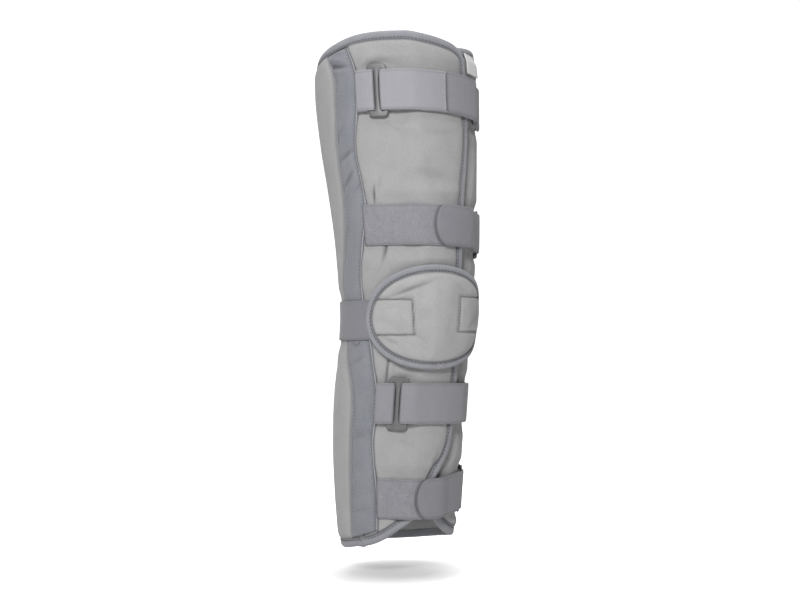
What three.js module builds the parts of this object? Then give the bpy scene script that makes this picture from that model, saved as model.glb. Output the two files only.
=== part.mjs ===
import * as THREE from "three";

// Driving sizes, in mm. Heights run up from the bottom rim and turns in degrees round the leg:
// 0 is the front of the knee, -90 the left side of the picture and +90 its right side.
const HEIGHT = 487;
const THIGH_WIDTH = 142;
const KNEE_HEIGHT = 219;
const GAP = 0.3;

const FOAM = 8;
const FOAM_PRESSED = 6;
const FOAM_SEAM = 4.5;
const FOAM_EDGE = 2.4;
const FOAM_UNDER_FLAP = 4.5;
const FLAP_LIFT = 6;

const BINDING_WIDTH = 8;
const BINDING_WALL = 1;
const BINDING_THICK = 5.6;
const EDGE_BODY = 20;
const EDGE_OUT = (BINDING_THICK - FOAM_EDGE) / 2;

const TAPE = 1.2;
const RIGHT_TAPE_WIDTH = 25;
const RIGHT_SEAM_TURN = 96;
const SEAM_GAP = 1;

const STRAP_WIDTH = 38;
const STRAP = 1.5;
const SEAT_GAP = 0.45;
const SLIDE_GAP = 0.5;
const PRESS_MARGIN = 2.5;
const PRESS_FADE = 12;

const SLIDE_WIDTH = 20;
const SLIDE_HEIGHT = 49;
const SLIDE_THICK = 2.5;
const SLIDE_SIDE_BAR = 3.5;
const SLIDE_CENTRE_BAR = 4.5;

const PAD_TURN = 3;
const PAD_HALF_TURN = 61;
const PAD_HEIGHT = 221;
const PAD_HALF_HEIGHT = 48;
const PAD_CROWN = 10;
const PAD_EDGE_CLEAR = 0.3;
const PAD_ABOVE_CALF_SLIDE = 7;
const PAD_BELOW_THIGH_SLIDE = 12.5;

const KNEE_STRAP_WIDTH = 37;
const TAG_WIDTH = 18;
const TAG_LENGTH = 19;

const FABRIC = 0xa9a9ab;
const TRIM = 0x96979e;
const WEBBING = 0x9a999f;
const PLASTIC = 0x8f8f92;
const WHITE = 0xeeeeee;

// The hollow for the leg: half widths and forward shift as shares of THIGH_WIDTH / 2 and THIGH_WIDTH.
const LEG = [
  { at: 0.0, across: 0.69, deep: 0.68, forward: -0.14 },
  { at: 0.1, across: 0.745, deep: 0.74, forward: -0.14 },
  { at: 0.2, across: 0.778, deep: 0.79, forward: -0.13 },
  { at: 0.3, across: 0.79, deep: 0.8, forward: -0.09 },
  { at: 0.4, across: 0.77, deep: 0.79, forward: -0.03 },
  { at: 0.47, across: 0.775, deep: 0.8, forward: 0 },
  { at: 0.54, across: 0.815, deep: 0.83, forward: 0.01 },
  { at: 0.6, across: 0.845, deep: 0.86, forward: 0.005 },
  { at: 0.7, across: 0.895, deep: 0.9, forward: -0.045 },
  { at: 0.8, across: 0.965, deep: 0.95, forward: -0.11 },
  { at: 0.9, across: 1.008, deep: 0.98, forward: -0.155 },
  { at: 1.0, across: 1.0, deep: 0.98, forward: -0.165 },
];

// The left tape's two edges, which the straps pull forward.
const LEFT_TAPE = [
  { at: 0.0, back: -73, front: -46 },
  { at: 0.1, back: -72, front: -44 },
  { at: 0.22, back: -71, front: -48 },
  { at: 0.3, back: -71, front: -46 },
  { at: 0.38, back: -83, front: -54 },
  { at: 0.5, back: -95, front: -67 },
  { at: 0.59, back: -86, front: -64 },
  { at: 0.65, back: -81, front: -58 },
  { at: 0.78, back: -77, front: -59 },
  { at: 0.86, back: -73, front: -54 },
  { at: 0.93, back: -74, front: -54 },
  { at: 1.0, back: -83, front: -64 },
];

// Outlines of the front flap and the under flap, walked from the seam along the bottom, up the free
// edge and back along the top. Heights are shares of HEIGHT; corner marks where the edge turns.
const FLAP_RIM = [
  { turn: -90, height: 0.002 },
  { turn: -71, height: 0.008 },
  { turn: -52, height: 0.014 },
  { turn: -36, height: 0.027 },
  { turn: -21, height: 0.047 },
  { turn: -9.5, height: 0.068, corner: true },
  { turn: 1.5, height: 0.112 },
  { turn: 10, height: 0.156 },
  { turn: 18, height: 0.19 },
  { turn: 25, height: 0.24 },
  { turn: 27, height: 0.34 },
  { turn: 23.5, height: 0.56 },
  { turn: 23.5, height: 0.61 },
  { turn: 26, height: 0.69 },
  { turn: 30, height: 0.77 },
  { turn: 31, height: 0.84 },
  { turn: 30, height: 0.92 },
  { turn: 27.5, height: 0.96 },
  { turn: 19, height: 0.979, corner: true },
  { turn: 7, height: 0.988 },
  { turn: -8, height: 0.995 },
  { turn: -21, height: 1.0 },
  { turn: -50, height: 0.997 },
  { turn: -71, height: 0.987 },
  { turn: -95, height: 0.972 },
];
const UNDER_RIM = [
  { turn: 118, height: 0.008 },
  { turn: 90, height: 0.013 },
  { turn: 62, height: 0.021 },
  { turn: 39, height: 0.031 },
  { turn: 24, height: 0.046 },
  { turn: 13, height: 0.068, corner: true },
  { turn: 4, height: 0.105 },
  { turn: -1, height: 0.16 },
  { turn: -2, height: 0.3 },
  { turn: -2, height: 0.7 },
  { turn: 0, height: 0.86 },
  { turn: 4, height: 0.93 },
  { turn: 14, height: 0.97, corner: true },
  { turn: 30, height: 0.982 },
  { turn: 62, height: 0.988 },
  { turn: 90, height: 0.973 },
  { turn: 118, height: 0.956 },
];
const BACK_TOP = [
  { at: 62, height: 0.988 },
  { at: 90, height: 0.973 },
  { at: 135, height: 0.945 },
  { at: 180, height: 0.934 },
  { at: 225, height: 0.945 },
  { at: 265, height: 0.974 },
  { at: 292, height: 0.989 },
];
const BACK_BOTTOM = [
  { at: 62, height: 0.021 },
  { at: 90, height: 0.013 },
  { at: 145, height: 0 },
  { at: 220, height: 0 },
  { at: 270, height: 0.002 },
  { at: 292, height: 0.009 },
];

// The four straps: height of the middle, how far the right end sinks, where the slide sits,
// where the free end stops, and which side the long strap is sewn to. The two beside the knee
// keep their slides clear of the pad.
const PAD_TO_SLIDE = PAD_HALF_HEIGHT + SLIDE_HEIGHT / 2;
const STRAPS = [
  { name: "upper_thigh", at: 430.5, sink: 5, slide: -37, end: 74, sewn: "right" },
  { name: "lower_thigh", at: PAD_HEIGHT + PAD_TO_SLIDE + PAD_BELOW_THIGH_SLIDE, sink: 3, slide: 74, end: -3, sewn: "left" },
  { name: "upper_calf", at: PAD_HEIGHT - PAD_TO_SLIDE - PAD_ABOVE_CALF_SLIDE, sink: 1, slide: -27, end: 72, sewn: "right" },
  { name: "lower_calf", at: 52, sink: -3, slide: 74, end: -8.5, sewn: "left" },
];

const rad = THREE.MathUtils.degToRad;
const deg = THREE.MathUtils.radToDeg;
const ramp = (x, from, to) => THREE.MathUtils.clamp((x - from) / (to - from), 0, 1);
const mix = THREE.MathUtils.lerp;

// Smooth curve through a table's rows, by the column named.
function curve(rows, column, where) {
  const n = rows.length;
  const x = THREE.MathUtils.clamp(where, rows[0].at, rows[n - 1].at);
  const slope = (i) => {
    const a = rows[Math.max(i - 1, 0)];
    const b = rows[i];
    const c = rows[Math.min(i + 1, n - 1)];
    const back = i > 0 ? (b[column] - a[column]) / (b.at - a.at) : 0;
    const on = i < n - 1 ? (c[column] - b[column]) / (c.at - b.at) : 0;
    if (i === 0) return on;
    if (i === n - 1) return back;
    const left = b.at - a.at;
    const right = c.at - b.at;
    return (back * right + on * left) / (left + right);
  };
  let i = 0;
  while (i < n - 2 && x > rows[i + 1].at) i++;
  const span = rows[i + 1].at - rows[i].at;
  const t = (x - rows[i].at) / span;
  const start = (2 * t ** 3 - 3 * t ** 2 + 1) * rows[i][column] + (t ** 3 - 2 * t ** 2 + t) * span * slope(i);
  const end = (3 * t ** 2 - 2 * t ** 3) * rows[i + 1][column] + (t ** 3 - t ** 2) * span * slope(i + 1);
  return start + end;
}

// A point at a turn and height, a distance out from the lining.
function place(turn, height, out) {
  const at = height / HEIGHT;
  const across = (curve(LEG, "across", at) * THIGH_WIDTH) / 2 + out;
  const deep = (curve(LEG, "deep", at) * THIGH_WIDTH) / 2 + out;
  const forward = curve(LEG, "forward", at) * THIGH_WIDTH;
  return [across * Math.sin(rad(turn)), -deep * Math.cos(rad(turn)) - forward, height - KNEE_HEIGHT];
}

// Degrees of turn for a distance in mm along the surface at a height.
function turnOf(length, height) {
  const at = height / HEIGHT;
  const radius = ((curve(LEG, "across", at) + curve(LEG, "deep", at)) * THIGH_WIDTH) / 4 + FOAM / 2;
  return deg(length / radius);
}

const brace = new THREE.Group();
brace.name = "knee_immobilizer";

function add(name, colour, roughness, points, faces) {
  const geometry = new THREE.BufferGeometry();
  geometry.setAttribute("position", new THREE.Float32BufferAttribute(points.flat(), 3));
  geometry.setIndex(faces.flat());
  const material = new THREE.MeshStandardMaterial({ color: colour, roughness, metalness: 0 });
  const mesh = new THREE.Mesh(geometry, material);
  mesh.name = name;
  brace.add(mesh);
}

// A closed sheet from knots {turn, height, inner, outer} and the quads or triangles between them,
// whose open edges are closed by a rim.
function addSheet(name, colour, roughness, knots, cells) {
  const n = knots.length;
  const points = [
    ...knots.map((k) => place(k.turn, k.height, k.outer)),
    ...knots.map((k) => place(k.turn, k.height, k.inner)),
  ];
  const skin = [];
  for (const cell of cells)
    for (let i = 2; i < cell.length; i++) skin.push([cell[0], cell[i - 1], cell[i]]);
  const edges = new Set();
  for (const [a, b, c] of skin) for (const [p, q] of [[a, b], [b, c], [c, a]]) edges.add(p * n + q);
  const faces = skin.flatMap(([a, b, c]) => [[a, b, c], [a + n, c + n, b + n]]);
  for (const edge of edges) {
    const p = Math.floor(edge / n);
    const q = edge % n;
    if (!edges.has(q * n + p)) faces.push([q, p, p + n], [q, p + n, q + n]);
  }
  add(name, colour, roughness, points, faces);
}

// Cells of a grid of knots laid row after row, wound to face out for rows rising and turns growing.
function gridCells(rows, columns, flip = false, skip = () => false) {
  const cells = [];
  for (let j = 0; j < rows - 1; j++)
    for (let i = 0; i < columns - 1; i++) {
      if (skip(i, j)) continue;
      const a = j * columns + i;
      const cell = [a, a + 1, a + 1 + columns, a + columns];
      cells.push(flip ? cell.reverse() : cell);
    }
  return cells;
}

// Where a strap's middle line runs: level on the left, sinking towards the right.
const strapHeight = (strap, turn) => strap.at - strap.sink * ramp(turn, 5, 50) ** 1.5;

// How hard the foam is pressed, 0 to 1, by straps, knee band and pad.
function pressed(turn, height) {
  let most = 0;
  if (turn < 90)
    for (const strap of STRAPS) {
      const off = Math.abs(height - strapHeight(strap, turn)) - STRAP_WIDTH / 2 - PRESS_MARGIN;
      most = Math.max(most, 1 - ramp(off, 0, PRESS_FADE));
    }
  const band = Math.abs(height - KNEE_HEIGHT) - KNEE_STRAP_WIDTH / 2 - PRESS_MARGIN;
  most = Math.max(most, 1 - ramp(band, 0, PRESS_FADE));
  const pad = Math.hypot((turn - PAD_TURN) / PAD_HALF_TURN, (height - PAD_HEIGHT) / PAD_HALF_HEIGHT);
  return Math.max(most, 1 - ramp(pad, 0.9, 1.15));
}
const foam = (turn, height) => mix(FOAM, FOAM_PRESSED, pressed(turn, height));

// The front flap rises over the under flap's hidden edge, and what lies on the flap comes down
// again past the flap's own edge.
const flapBase = (turn) => FLAP_LIFT * ramp(turn, -24, -9);
const overBase = (turn, edge) => FLAP_LIFT * ramp(turn, -30, -13) * (1 - ramp(turn, edge + 2, edge + 18));

// A rim table as a fine polyline with inward normals; side is +1 for a flap that runs to the
// right from its seam, -1 for one that runs to the left.
function rimLine(rows, side) {
  const keyed = rows.map((row, i) => ({ ...row, at: i, turn: row.turn * side }));
  const fine = [];
  const steps = 12;
  for (let i = 0; i <= (rows.length - 1) * steps; i++)
    fine.push({
      at: i / steps,
      turn: curve(keyed, "turn", i / steps),
      height: curve(keyed, "height", i / steps) * HEIGHT,
    });
  return { keyed, fine };
}

function rimPoint(rim, at, inset) {
  const turn = curve(rim.keyed, "turn", at);
  const height = curve(rim.keyed, "height", at) * HEIGHT;
  const step = 0.25;
  const degree = 1 / turnOf(1, height);
  const along = (curve(rim.keyed, "turn", at + step) - curve(rim.keyed, "turn", at - step)) * degree;
  const up = (curve(rim.keyed, "height", at + step) - curve(rim.keyed, "height", at - step)) * HEIGHT;
  const length = Math.hypot(along, up);
  return { turn: turn - (up / length) * inset / degree, height: height + (along / length) * inset };
}

// Place on the rim, between two places, whose inset point has the turn or height asked for.
function rimWhere(rim, from, to, inset, key, value) {
  let low = from;
  let high = to;
  const rising = rimPoint(rim, to, inset)[key] > rimPoint(rim, from, inset)[key];
  for (let i = 0; i < 40; i++) {
    const mid = (low + high) / 2;
    if (rimPoint(rim, mid, inset)[key] < value === rising) low = mid;
    else high = mid;
  }
  return (low + high) / 2;
}

// Heights of the rows of knots: each pressed band has one at its middle and its two edges, with
// one or more between bands where the foam is free.
function bandRows(turn) {
  const half = STRAP_WIDTH / 2 + PRESS_MARGIN;
  const [top, second, third, low] = STRAPS.map((strap) => strapHeight(strap, turn));
  const knee = KNEE_STRAP_WIDTH / 2 + PRESS_MARGIN;
  const across = (middle, reach) => [middle - reach, middle, middle + reach];
  return [
    low + 9, low + half, (low + third) / 2,
    ...across(third, half), (third + half + KNEE_HEIGHT - knee) / 2,
    ...across(KNEE_HEIGHT, knee), (KNEE_HEIGHT + knee + second - half) / 2,
    ...across(second, half), second + half + PRESS_FADE, (second + top) / 2,
    top - half - PRESS_FADE, ...across(top, half),
  ];
}

// A flap: sewn at its seam, bound on the other three sides. Rings of knots follow the rim and a
// grid fills the middle. Returns the places on the rim, for its binding.
function addFlap(name, rows, side, columns, levels, seam, tapeEdge, base, thickness) {
  const rim = rimLine(rows, side);
  const corners = rim.keyed.filter((row) => row.corner).map((row) => row.at);
  const last = rim.keyed.length - 1;
  const fixed = (height) => {
    const edge = tapeEdge(height) * side;
    return [seam(height) * side, edge, edge + turnOf(14, height)];
  };
  // Places on the rim for the bottom, the free edge and the top.
  const seamAt = (from, to, height, k) => rimWhere(rim, from, to, EDGE_BODY, "turn", fixed(height)[k]);
  const bottom = [0, 1, 2].map((k) => seamAt(0, corners[0], 0.05 * HEIGHT, k));
  const top = [0, 1, 2].map((k) => seamAt(last, corners[1], 0.95 * HEIGHT, k));
  for (let i = 3; i <= columns; i++) {
    bottom.push(mix(bottom[2], corners[0], (i - 2) / (columns - 2)));
    top.push(mix(top[2], corners[1], (i - 2) / (columns - 2)));
  }
  const edgeRows = levels.map((level) => rimWhere(rim, corners[0], corners[1], EDGE_BODY, "height", level));
  const low = bottom.map((at) => rimPoint(rim, at, EDGE_BODY));
  const second = low.map((p) => Math.max(30.5, p.height + 5));
  const secondAt = rimWhere(rim, corners[0], corners[1], EDGE_BODY, "height", second[columns]);

  const knots = [];
  const knot = (turn, height, inner, outer) =>
    knots.push({
      turn: turn * side,
      height,
      inner: inner + base(turn * side, height),
      outer: outer + base(turn * side, height),
    });
  const body = (turn, height, i) =>
    knot(turn, height, 0, i < 2 ? Math.min(FOAM_SEAM, thickness(turn * side, height)) : thickness(turn * side, height));
  const seamTurn = (turn, height, i) => (i < 3 ? fixed(height)[i] : turn);
  low.forEach((p, i) => body(seamTurn(p.turn, p.height, i), p.height, i));
  const row = (heights, endTurn) => {
    for (let i = 0; i <= columns; i++) {
      const start = fixed(heights[i]);
      body(i < 3 ? start[i] : mix(start[2], endTurn, (i - 2) / (columns - 2)), heights[i], i);
    }
  };
  row(second, rimPoint(rim, secondAt, EDGE_BODY).turn);
  levels.forEach((level, j) =>
    row(Array(columns + 1).fill(level), rimPoint(rim, edgeRows[j], EDGE_BODY).turn),
  );
  top.forEach((at, i) => {
    const p = rimPoint(rim, at, EDGE_BODY);
    body(seamTurn(p.turn, p.height, i), p.height, i);
  });
  const total = levels.length + 3;
  const flip = side < 0;
  const cells = gridCells(total, columns + 1, flip);

  const around = [...bottom, secondAt, ...edgeRows, ...top.toReversed()];
  const grid = [];
  for (let i = 0; i <= columns; i++) grid.push(i);
  for (let j = 1; j < total - 1; j++) grid.push(j * (columns + 1) + columns);
  for (let i = columns; i >= 0; i--) grid.push((total - 1) * (columns + 1) + i);
  let inside = grid;
  for (const inset of [BINDING_WIDTH + 1, BINDING_WALL + GAP]) {
    const first = knots.length;
    around.forEach((at, k) => {
      const p = rimPoint(rim, at, inset);
      const fromEnd = Math.min(k, around.length - 1 - k);
      knot(seamTurn(p.turn, p.height, fromEnd), p.height, EDGE_OUT, EDGE_OUT + FOAM_EDGE);
    });
    const ring = around.map((_, k) => first + k);
    for (let k = 0; k < ring.length - 1; k++) {
      const cell = [ring[k], ring[k + 1], inside[k + 1], inside[k]];
      cells.push(flip ? cell.reverse() : cell);
    }
    inside = ring;
  }
  addSheet(name, FABRIC, 0.9, knots, cells);
  return { rim, around, side, base, fixed };
}

// A folded binding swept along places {turn, height} with matching insets, as a U that holds the
// panel's edge: rows are the eight corners of the U.
const BINDING_SECTION = [
  [0, 0], [BINDING_WIDTH, 0], [BINDING_WIDTH, BINDING_WALL], [BINDING_WALL, BINDING_WALL],
  [BINDING_WALL, BINDING_THICK - BINDING_WALL], [BINDING_WIDTH, BINDING_THICK - BINDING_WALL],
  [BINDING_WIDTH, BINDING_THICK], [0, BINDING_THICK],
];

function sweep(name, colour, roughness, stations, closed) {
  const size = stations[0].length;
  const faces = [];
  const n = stations.length;
  for (let k = 0; k < (closed ? n : n - 1); k++)
    for (let s = 0; s < size; s++) {
      const a = k * size + s;
      const b = k * size + ((s + 1) % size);
      const c = ((k + 1) % n) * size + ((s + 1) % size);
      const d = ((k + 1) % n) * size + s;
      faces.push([a, b, c], [a, c, d]);
    }
  if (!closed) {
    const outline = BINDING_SECTION.map(([x, y]) => new THREE.Vector2(x, y));
    const cap = THREE.ShapeUtils.triangulateShape(outline, []);
    const tail = (n - 1) * size;
    for (const [a, b, c] of cap) faces.push([c, b, a], [tail + a, tail + b, tail + c]);
  }
  add(name, colour, roughness, stations.flat(), faces);
}

function addFlapBinding(name, flap) {
  const { rim, around, side, base, fixed } = flap;
  const stations = around.map((at, k) => {
    const fromEnd = Math.min(k, around.length - 1 - k);
    return BINDING_SECTION.map(([inset, out]) => {
      const p = rimPoint(rim, at, inset);
      const turn = (fromEnd < 3 ? fixed(p.height)[fromEnd] : p.turn) * side;
      return place(turn, p.height, out + base(turn, p.height));
    });
  });
  if (side < 0) stations.reverse();
  sweep(name, TRIM, 0.8, stations, false);
}

const leftSeam = (height) =>
  (curve(LEFT_TAPE, "back", height / HEIGHT) + curve(LEFT_TAPE, "front", height / HEIGHT)) / 2;
const leftFront = (height) => curve(LEFT_TAPE, "front", height / HEIGHT);
const leftBack = (height) => curve(LEFT_TAPE, "back", height / HEIGHT);
const rightFront = (height) => RIGHT_SEAM_TURN - turnOf(RIGHT_TAPE_WIDTH / 2, height);
const rightBack = (height) => RIGHT_SEAM_TURN + turnOf(RIGHT_TAPE_WIDTH / 2, height);
const halfSeam = (height) => turnOf(SEAM_GAP / 2, height);

const frontFlap = addFlap(
  "front_flap", FLAP_RIM, 1, 14, bandRows(0),
  (height) => leftSeam(height) + halfSeam(height), leftFront,
  (turn) => flapBase(turn), foam,
);

// Where the flap's free edge is at a height, for what lies across it.
const edgeTurn = (height) => {
  const rim = frontFlap.rim;
  return rimPoint(rim, rimWhere(rim, 5, 17.5, 0, "height", THREE.MathUtils.clamp(height, 34, 463)), 0).turn;
};

const underFlap = addFlap(
  "under_flap", UNDER_RIM, -1, 10, bandRows(45),
  (height) => RIGHT_SEAM_TURN - halfSeam(height), rightFront,
  () => 0,
  (turn, height) => {
    const edge = edgeTurn(height);
    return mix(FOAM_UNDER_FLAP, foam(turn, height), ramp(turn, edge + 8, edge + 20));
  },
);
addFlapBinding("front_flap_binding", frontFlap);
addFlapBinding("under_flap_binding", underFlap);

// The back panel runs from the right seam round the back to the left seam, bound above and below.
const BACK_COLUMNS = 19;
const backTurns = (height) => {
  const right = [RIGHT_SEAM_TURN + halfSeam(height), rightBack(height), rightBack(height) + turnOf(14, height)];
  const left = [360 + leftBack(height) - turnOf(14, height), 360 + leftBack(height), 360 + leftSeam(height) - halfSeam(height)];
  const turns = [];
  for (let i = 1; i < BACK_COLUMNS - 5; i++) turns.push(mix(right[2], left[0], i / (BACK_COLUMNS - 5)));
  return [...right, ...turns, ...left];
};
function backKnots() {
  const knots = [];
  const insets = [BINDING_WALL + GAP, BINDING_WIDTH + 1, EDGE_BODY];
  const levels = [35, ...bandRows(0).slice(0, -2)];
  const rows = [
    ...insets.map((inset) => ({ from: "bottom", inset })),
    ...levels.map((level) => ({ from: "level", level })),
    ...insets.toReversed().map((inset) => ({ from: "top", inset })),
  ];
  for (const row of rows) {
    const guess = row.from === "bottom" ? 10 : row.from === "top" ? HEIGHT * 0.95 : row.level;
    backTurns(guess).forEach((turn, i) => {
      let height = row.level;
      if (row.from === "bottom") height = curve(BACK_BOTTOM, "height", turn) * HEIGHT + row.inset;
      if (row.from === "top") height = curve(BACK_TOP, "height", turn) * HEIGHT - row.inset;
      const own = backTurns(height)[i];
      const bound = row.inset && row.inset < EDGE_BODY;
      const seam = i < 2 || i > BACK_COLUMNS - 3;
      knots.push({
        turn: own,
        height,
        inner: bound ? EDGE_OUT : 0,
        outer: bound ? EDGE_OUT + FOAM_EDGE : seam ? FOAM_SEAM : foam(own, height),
      });
    });
  }
  return { knots, rows: rows.length };
}
const back = backKnots();
const BACK_ACROSS = backTurns(0).length;
addSheet("back_panel", FABRIC, 0.9, back.knots, gridCells(back.rows, BACK_ACROSS));

function addBackBinding(name, rows, up) {
  const stations = backTurns(up > 0 ? 10 : HEIGHT * 0.95).map((turn, i) =>
    BINDING_SECTION.map(([inset, out]) => {
      const height = curve(rows, "height", turn) * HEIGHT + up * inset;
      return place(backTurns(height)[i], height, out);
    }),
  );
  if (up < 0) stations.reverse();
  sweep(name, TRIM, 0.8, stations, false);
}
addBackBinding("back_top_binding", BACK_TOP, -1);
addBackBinding("back_bottom_binding", BACK_BOTTOM, 1);

// The stay tapes lie over the seams; their ends are cut along the bindings, a share of HEIGHT for
// each edge and the middle.
function addTape(name, edges, bottom, top) {
  const cut = (shares) => shares.map((share) => share * HEIGHT);
  const levels = [cut(bottom), ...[35, ...bandRows(0)].map((level) => [level, level, level]), cut(top)];
  const knots = levels.flatMap((heights) =>
    heights.map((height, i) => ({
      turn: edges(height)[i], height, inner: FOAM_SEAM + GAP, outer: FOAM_SEAM + GAP + TAPE,
    })),
  );
  addSheet(name, TRIM, 0.85, knots, gridCells(levels.length, 3));
}
addTape("left_stay_tape", (h) => [leftBack(h), leftSeam(h), leftFront(h)], [0.028, 0.033, 0.0445], [0.9605, 0.966, 0.971]);
addTape("right_stay_tape", (h) => [rightFront(h), RIGHT_SEAM_TURN, rightBack(h)], [0.0352, 0.0331, 0.0311], [0.955, 0.949, 0.943]);

// A ribbon of webbing along a path of {turn, mid}: mid is the distance out of its middle line.
// Each place across it has its own height; a rounded end draws the last places together.
function addRibbon(name, colour, path, width, heightAt, startTurn) {
  const across = [-1, 0, 1];
  const n = path.length;
  const half = STRAP / 2;
  const miter = path.map((p, i) => {
    const a = path[Math.max(i - 1, 0)];
    const b = path[Math.min(i + 1, n - 1)];
    const unit = (u, v) => {
      const l = Math.hypot(v.x - u.x, v.mid - u.mid) || 1;
      return [(v.x - u.x) / l, (v.mid - u.mid) / l];
    };
    const [ax, ay] = i > 0 ? unit(a, p) : unit(p, b);
    const [bx, by] = i < n - 1 ? unit(p, b) : unit(a, p);
    const tx = ax + bx;
    const ty = ay + by;
    const l = Math.hypot(tx, ty);
    const scale = half / Math.max(0.5, (ax * tx + ay * ty) / l);
    return [(-ty / l) * scale, (tx / l) * scale];
  });
  const points = [];
  for (const s of [1, -1])
    path.forEach((p, i) => {
      for (const w of across) {
        const height = heightAt(p.turn) + (w * width * (p.narrow ?? 1)) / 2;
        const turn = (i < 2 && startTurn ? startTurn(height, i) : p.turn) + turnOf(s * miter[i][0], height);
        points.push(place(turn, height, p.mid + s * miter[i][1]));
      }
    });
  const k = 3;
  const lower = n * k;
  const faces = [];
  const quad = (a, b, c, d) => faces.push([a, b, c], [a, c, d]);
  for (let i = 0; i < n - 1; i++) {
    for (let w = 0; w < 2; w++) {
      const a = i * k + w;
      quad(a, a + k, a + k + 1, a + 1);
      quad(lower + a, lower + a + 1, lower + a + k + 1, lower + a + k);
    }
    const a = i * k;
    quad(a, lower + a, lower + a + k, a + k);
    const b = a + 2;
    quad(b, b + k, lower + b + k, lower + b);
  }
  const e = (n - 1) * k;
  for (let w = 0; w < 2; w++) {
    quad(w, w + 1, lower + w + 1, lower + w);
    quad(e + w, lower + e + w, lower + e + w + 1, e + w + 1);
  }
  add(name, colour, 0.85, points, faces);
}

// Distances out of the layers at a slide, above the pressed foam.
const LOW = FOAM_PRESSED + SEAT_GAP + STRAP / 2;
const BAR = LOW + STRAP / 2 + SLIDE_GAP;
const HIGH = BAR + SLIDE_THICK + SLIDE_GAP + STRAP / 2;
const LAID = LOW + STRAP + GAP;
const EASE = 7;
const TAB_LIE = 3;

function addStrap(strap) {
  const right = strap.sewn === "right";
  const edge = Math.max(edgeTurn(strap.at - STRAP_WIDTH / 2), edgeTurn(strap.at + STRAP_WIDTH / 2));
  const radiusTurn = (mm) => turnOf(mm, strap.at) * 0.94;
  const heightAt = (turn) => strapHeight(strap, turn);
  const base = (turn) => overBase(turn, edge);
  // Path of one webbing: out from its seam, up through the slide's slot and back over the bar.
  const run = (from, side, end, rounded) => {
    const slot = SLIDE_WIDTH / 2 - SLIDE_SIDE_BAR;
    const turnAt = (mm) => strap.slide + side * radiusTurn(mm);
    const path = [];
    const lay = (a, b, mid) => {
      const steps = Math.max(1, Math.ceil(Math.abs(b - a) / 7));
      for (let i = 0; i <= steps; i++) path.push({ turn: mix(a, b, i / steps), mid });
    };
    lay(from, turnAt(slot + 0.1), LOW);
    path.push({ turn: turnAt(slot - SLIDE_GAP - STRAP / 2), mid: LOW + STRAP / 2 });
    path.push({ turn: turnAt(slot - SLIDE_GAP - STRAP / 2), mid: HIGH - STRAP / 2 });
    path.push({ turn: turnAt(slot + 0.1), mid: HIGH });
    path.push({ turn: turnAt(SLIDE_WIDTH / 2), mid: HIGH });
    const tip = rounded ? side * radiusTurn(STRAP_WIDTH * 0.28) : 0;
    lay(turnAt(SLIDE_WIDTH / 2 + EASE), end - tip, LAID);
    if (rounded)
      for (const [back, share] of [[0.6, 0.91], [0.25, 0.66], [0, 0.28]])
        path.push({ turn: end - tip * back, mid: LAID, narrow: share });
    return path.map((p) => ({
      ...p,
      x: (p.turn * side) / radiusTurn(1),
      mid: p.mid + base(p.turn),
    }));
  };
  const slideSide = right ? 1 : -1;
  const rightEdge = rightFront(strap.at) - radiusTurn(0.6);
  const leftEdge = leftFront(strap.at) + radiusTurn(0.6);
  const colour = WEBBING;
  const place0 = right ? rightEdge : leftEdge;
  addPath(strap.name + "_strap", colour, run(place0, slideSide, strap.end, !right), heightAt, slideSide);
  const tabFrom = right ? leftEdge : rightEdge;
  const tabEnd = strap.slide - slideSide * radiusTurn(SLIDE_WIDTH / 2 + EASE + TAB_LIE);
  addPath(strap.name + "_tab", colour, run(tabFrom, -slideSide, tabEnd, false), heightAt, -slideSide);
  addSlide(strap, base, heightAt, radiusTurn);
}

// The miter works in the path's own sense, so turns are mirrored for webbing that starts on the right.
function addPath(name, colour, path, heightAt, side) {
  const mirrored = path.map((p) => ({ ...p, turn: p.turn * side }));
  const first = brace.children.length;
  addRibbon(name, colour, mirrored, STRAP_WIDTH, (turn) => heightAt(turn * side));
  const mesh = brace.children[first];
  if (side < 0) {
    mesh.geometry.scale(-1, 1, 1);
    mesh.geometry.index.array.reverse();
  }
}

function addSlide(strap, base, heightAt, radiusTurn) {
  const half = SLIDE_WIDTH / 2;
  const stations = [-half, -half + SLIDE_SIDE_BAR, -SLIDE_CENTRE_BAR / 2, SLIDE_CENTRE_BAR / 2, half - SLIDE_SIDE_BAR, half];
  const opening = STRAP_WIDTH / 2 + 1.2;
  const levels = [
    { height: -SLIDE_HEIGHT / 2, wide: 0.6 }, { height: -SLIDE_HEIGHT / 2 + 1.6, wide: 0.87 },
    { height: -opening, wide: 1 }, { height: 0, wide: 1 }, { height: opening, wide: 1 },
    { height: SLIDE_HEIGHT / 2 - 1.6, wide: 0.87 }, { height: SLIDE_HEIGHT / 2, wide: 0.6 },
  ];
  const knots = [];
  for (const level of levels)
    for (const s of stations) {
      const turn = strap.slide + radiusTurn(s * level.wide);
      const lift = base(turn);
      knots.push({ turn, height: heightAt(strap.slide) + level.height, inner: BAR + lift, outer: BAR + SLIDE_THICK + lift });
    }
  const cells = gridCells(7, 6, false, (i, j) => (j === 2 || j === 3) && (i === 1 || i === 3));
  addSheet(strap.name + "_slide", PLASTIC, 0.5, knots, cells);
}
STRAPS.forEach(addStrap);

// The knee band goes round the back with both ends under the pad.
const kneePath = [];
const KNEE_STRAP_START = 28;
const KNEE_STRAP_END = 334;
const KNEE_STEPS = 39;
for (let i = 0; i <= KNEE_STEPS; i++) {
  const turn = mix(KNEE_STRAP_START, KNEE_STRAP_END, i / KNEE_STEPS);
  kneePath.push({ turn, x: turn / turnOf(1, KNEE_HEIGHT), mid: LOW });
}
addRibbon("knee_strap", WEBBING, kneePath, KNEE_STRAP_WIDTH, () => KNEE_HEIGHT);

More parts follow.
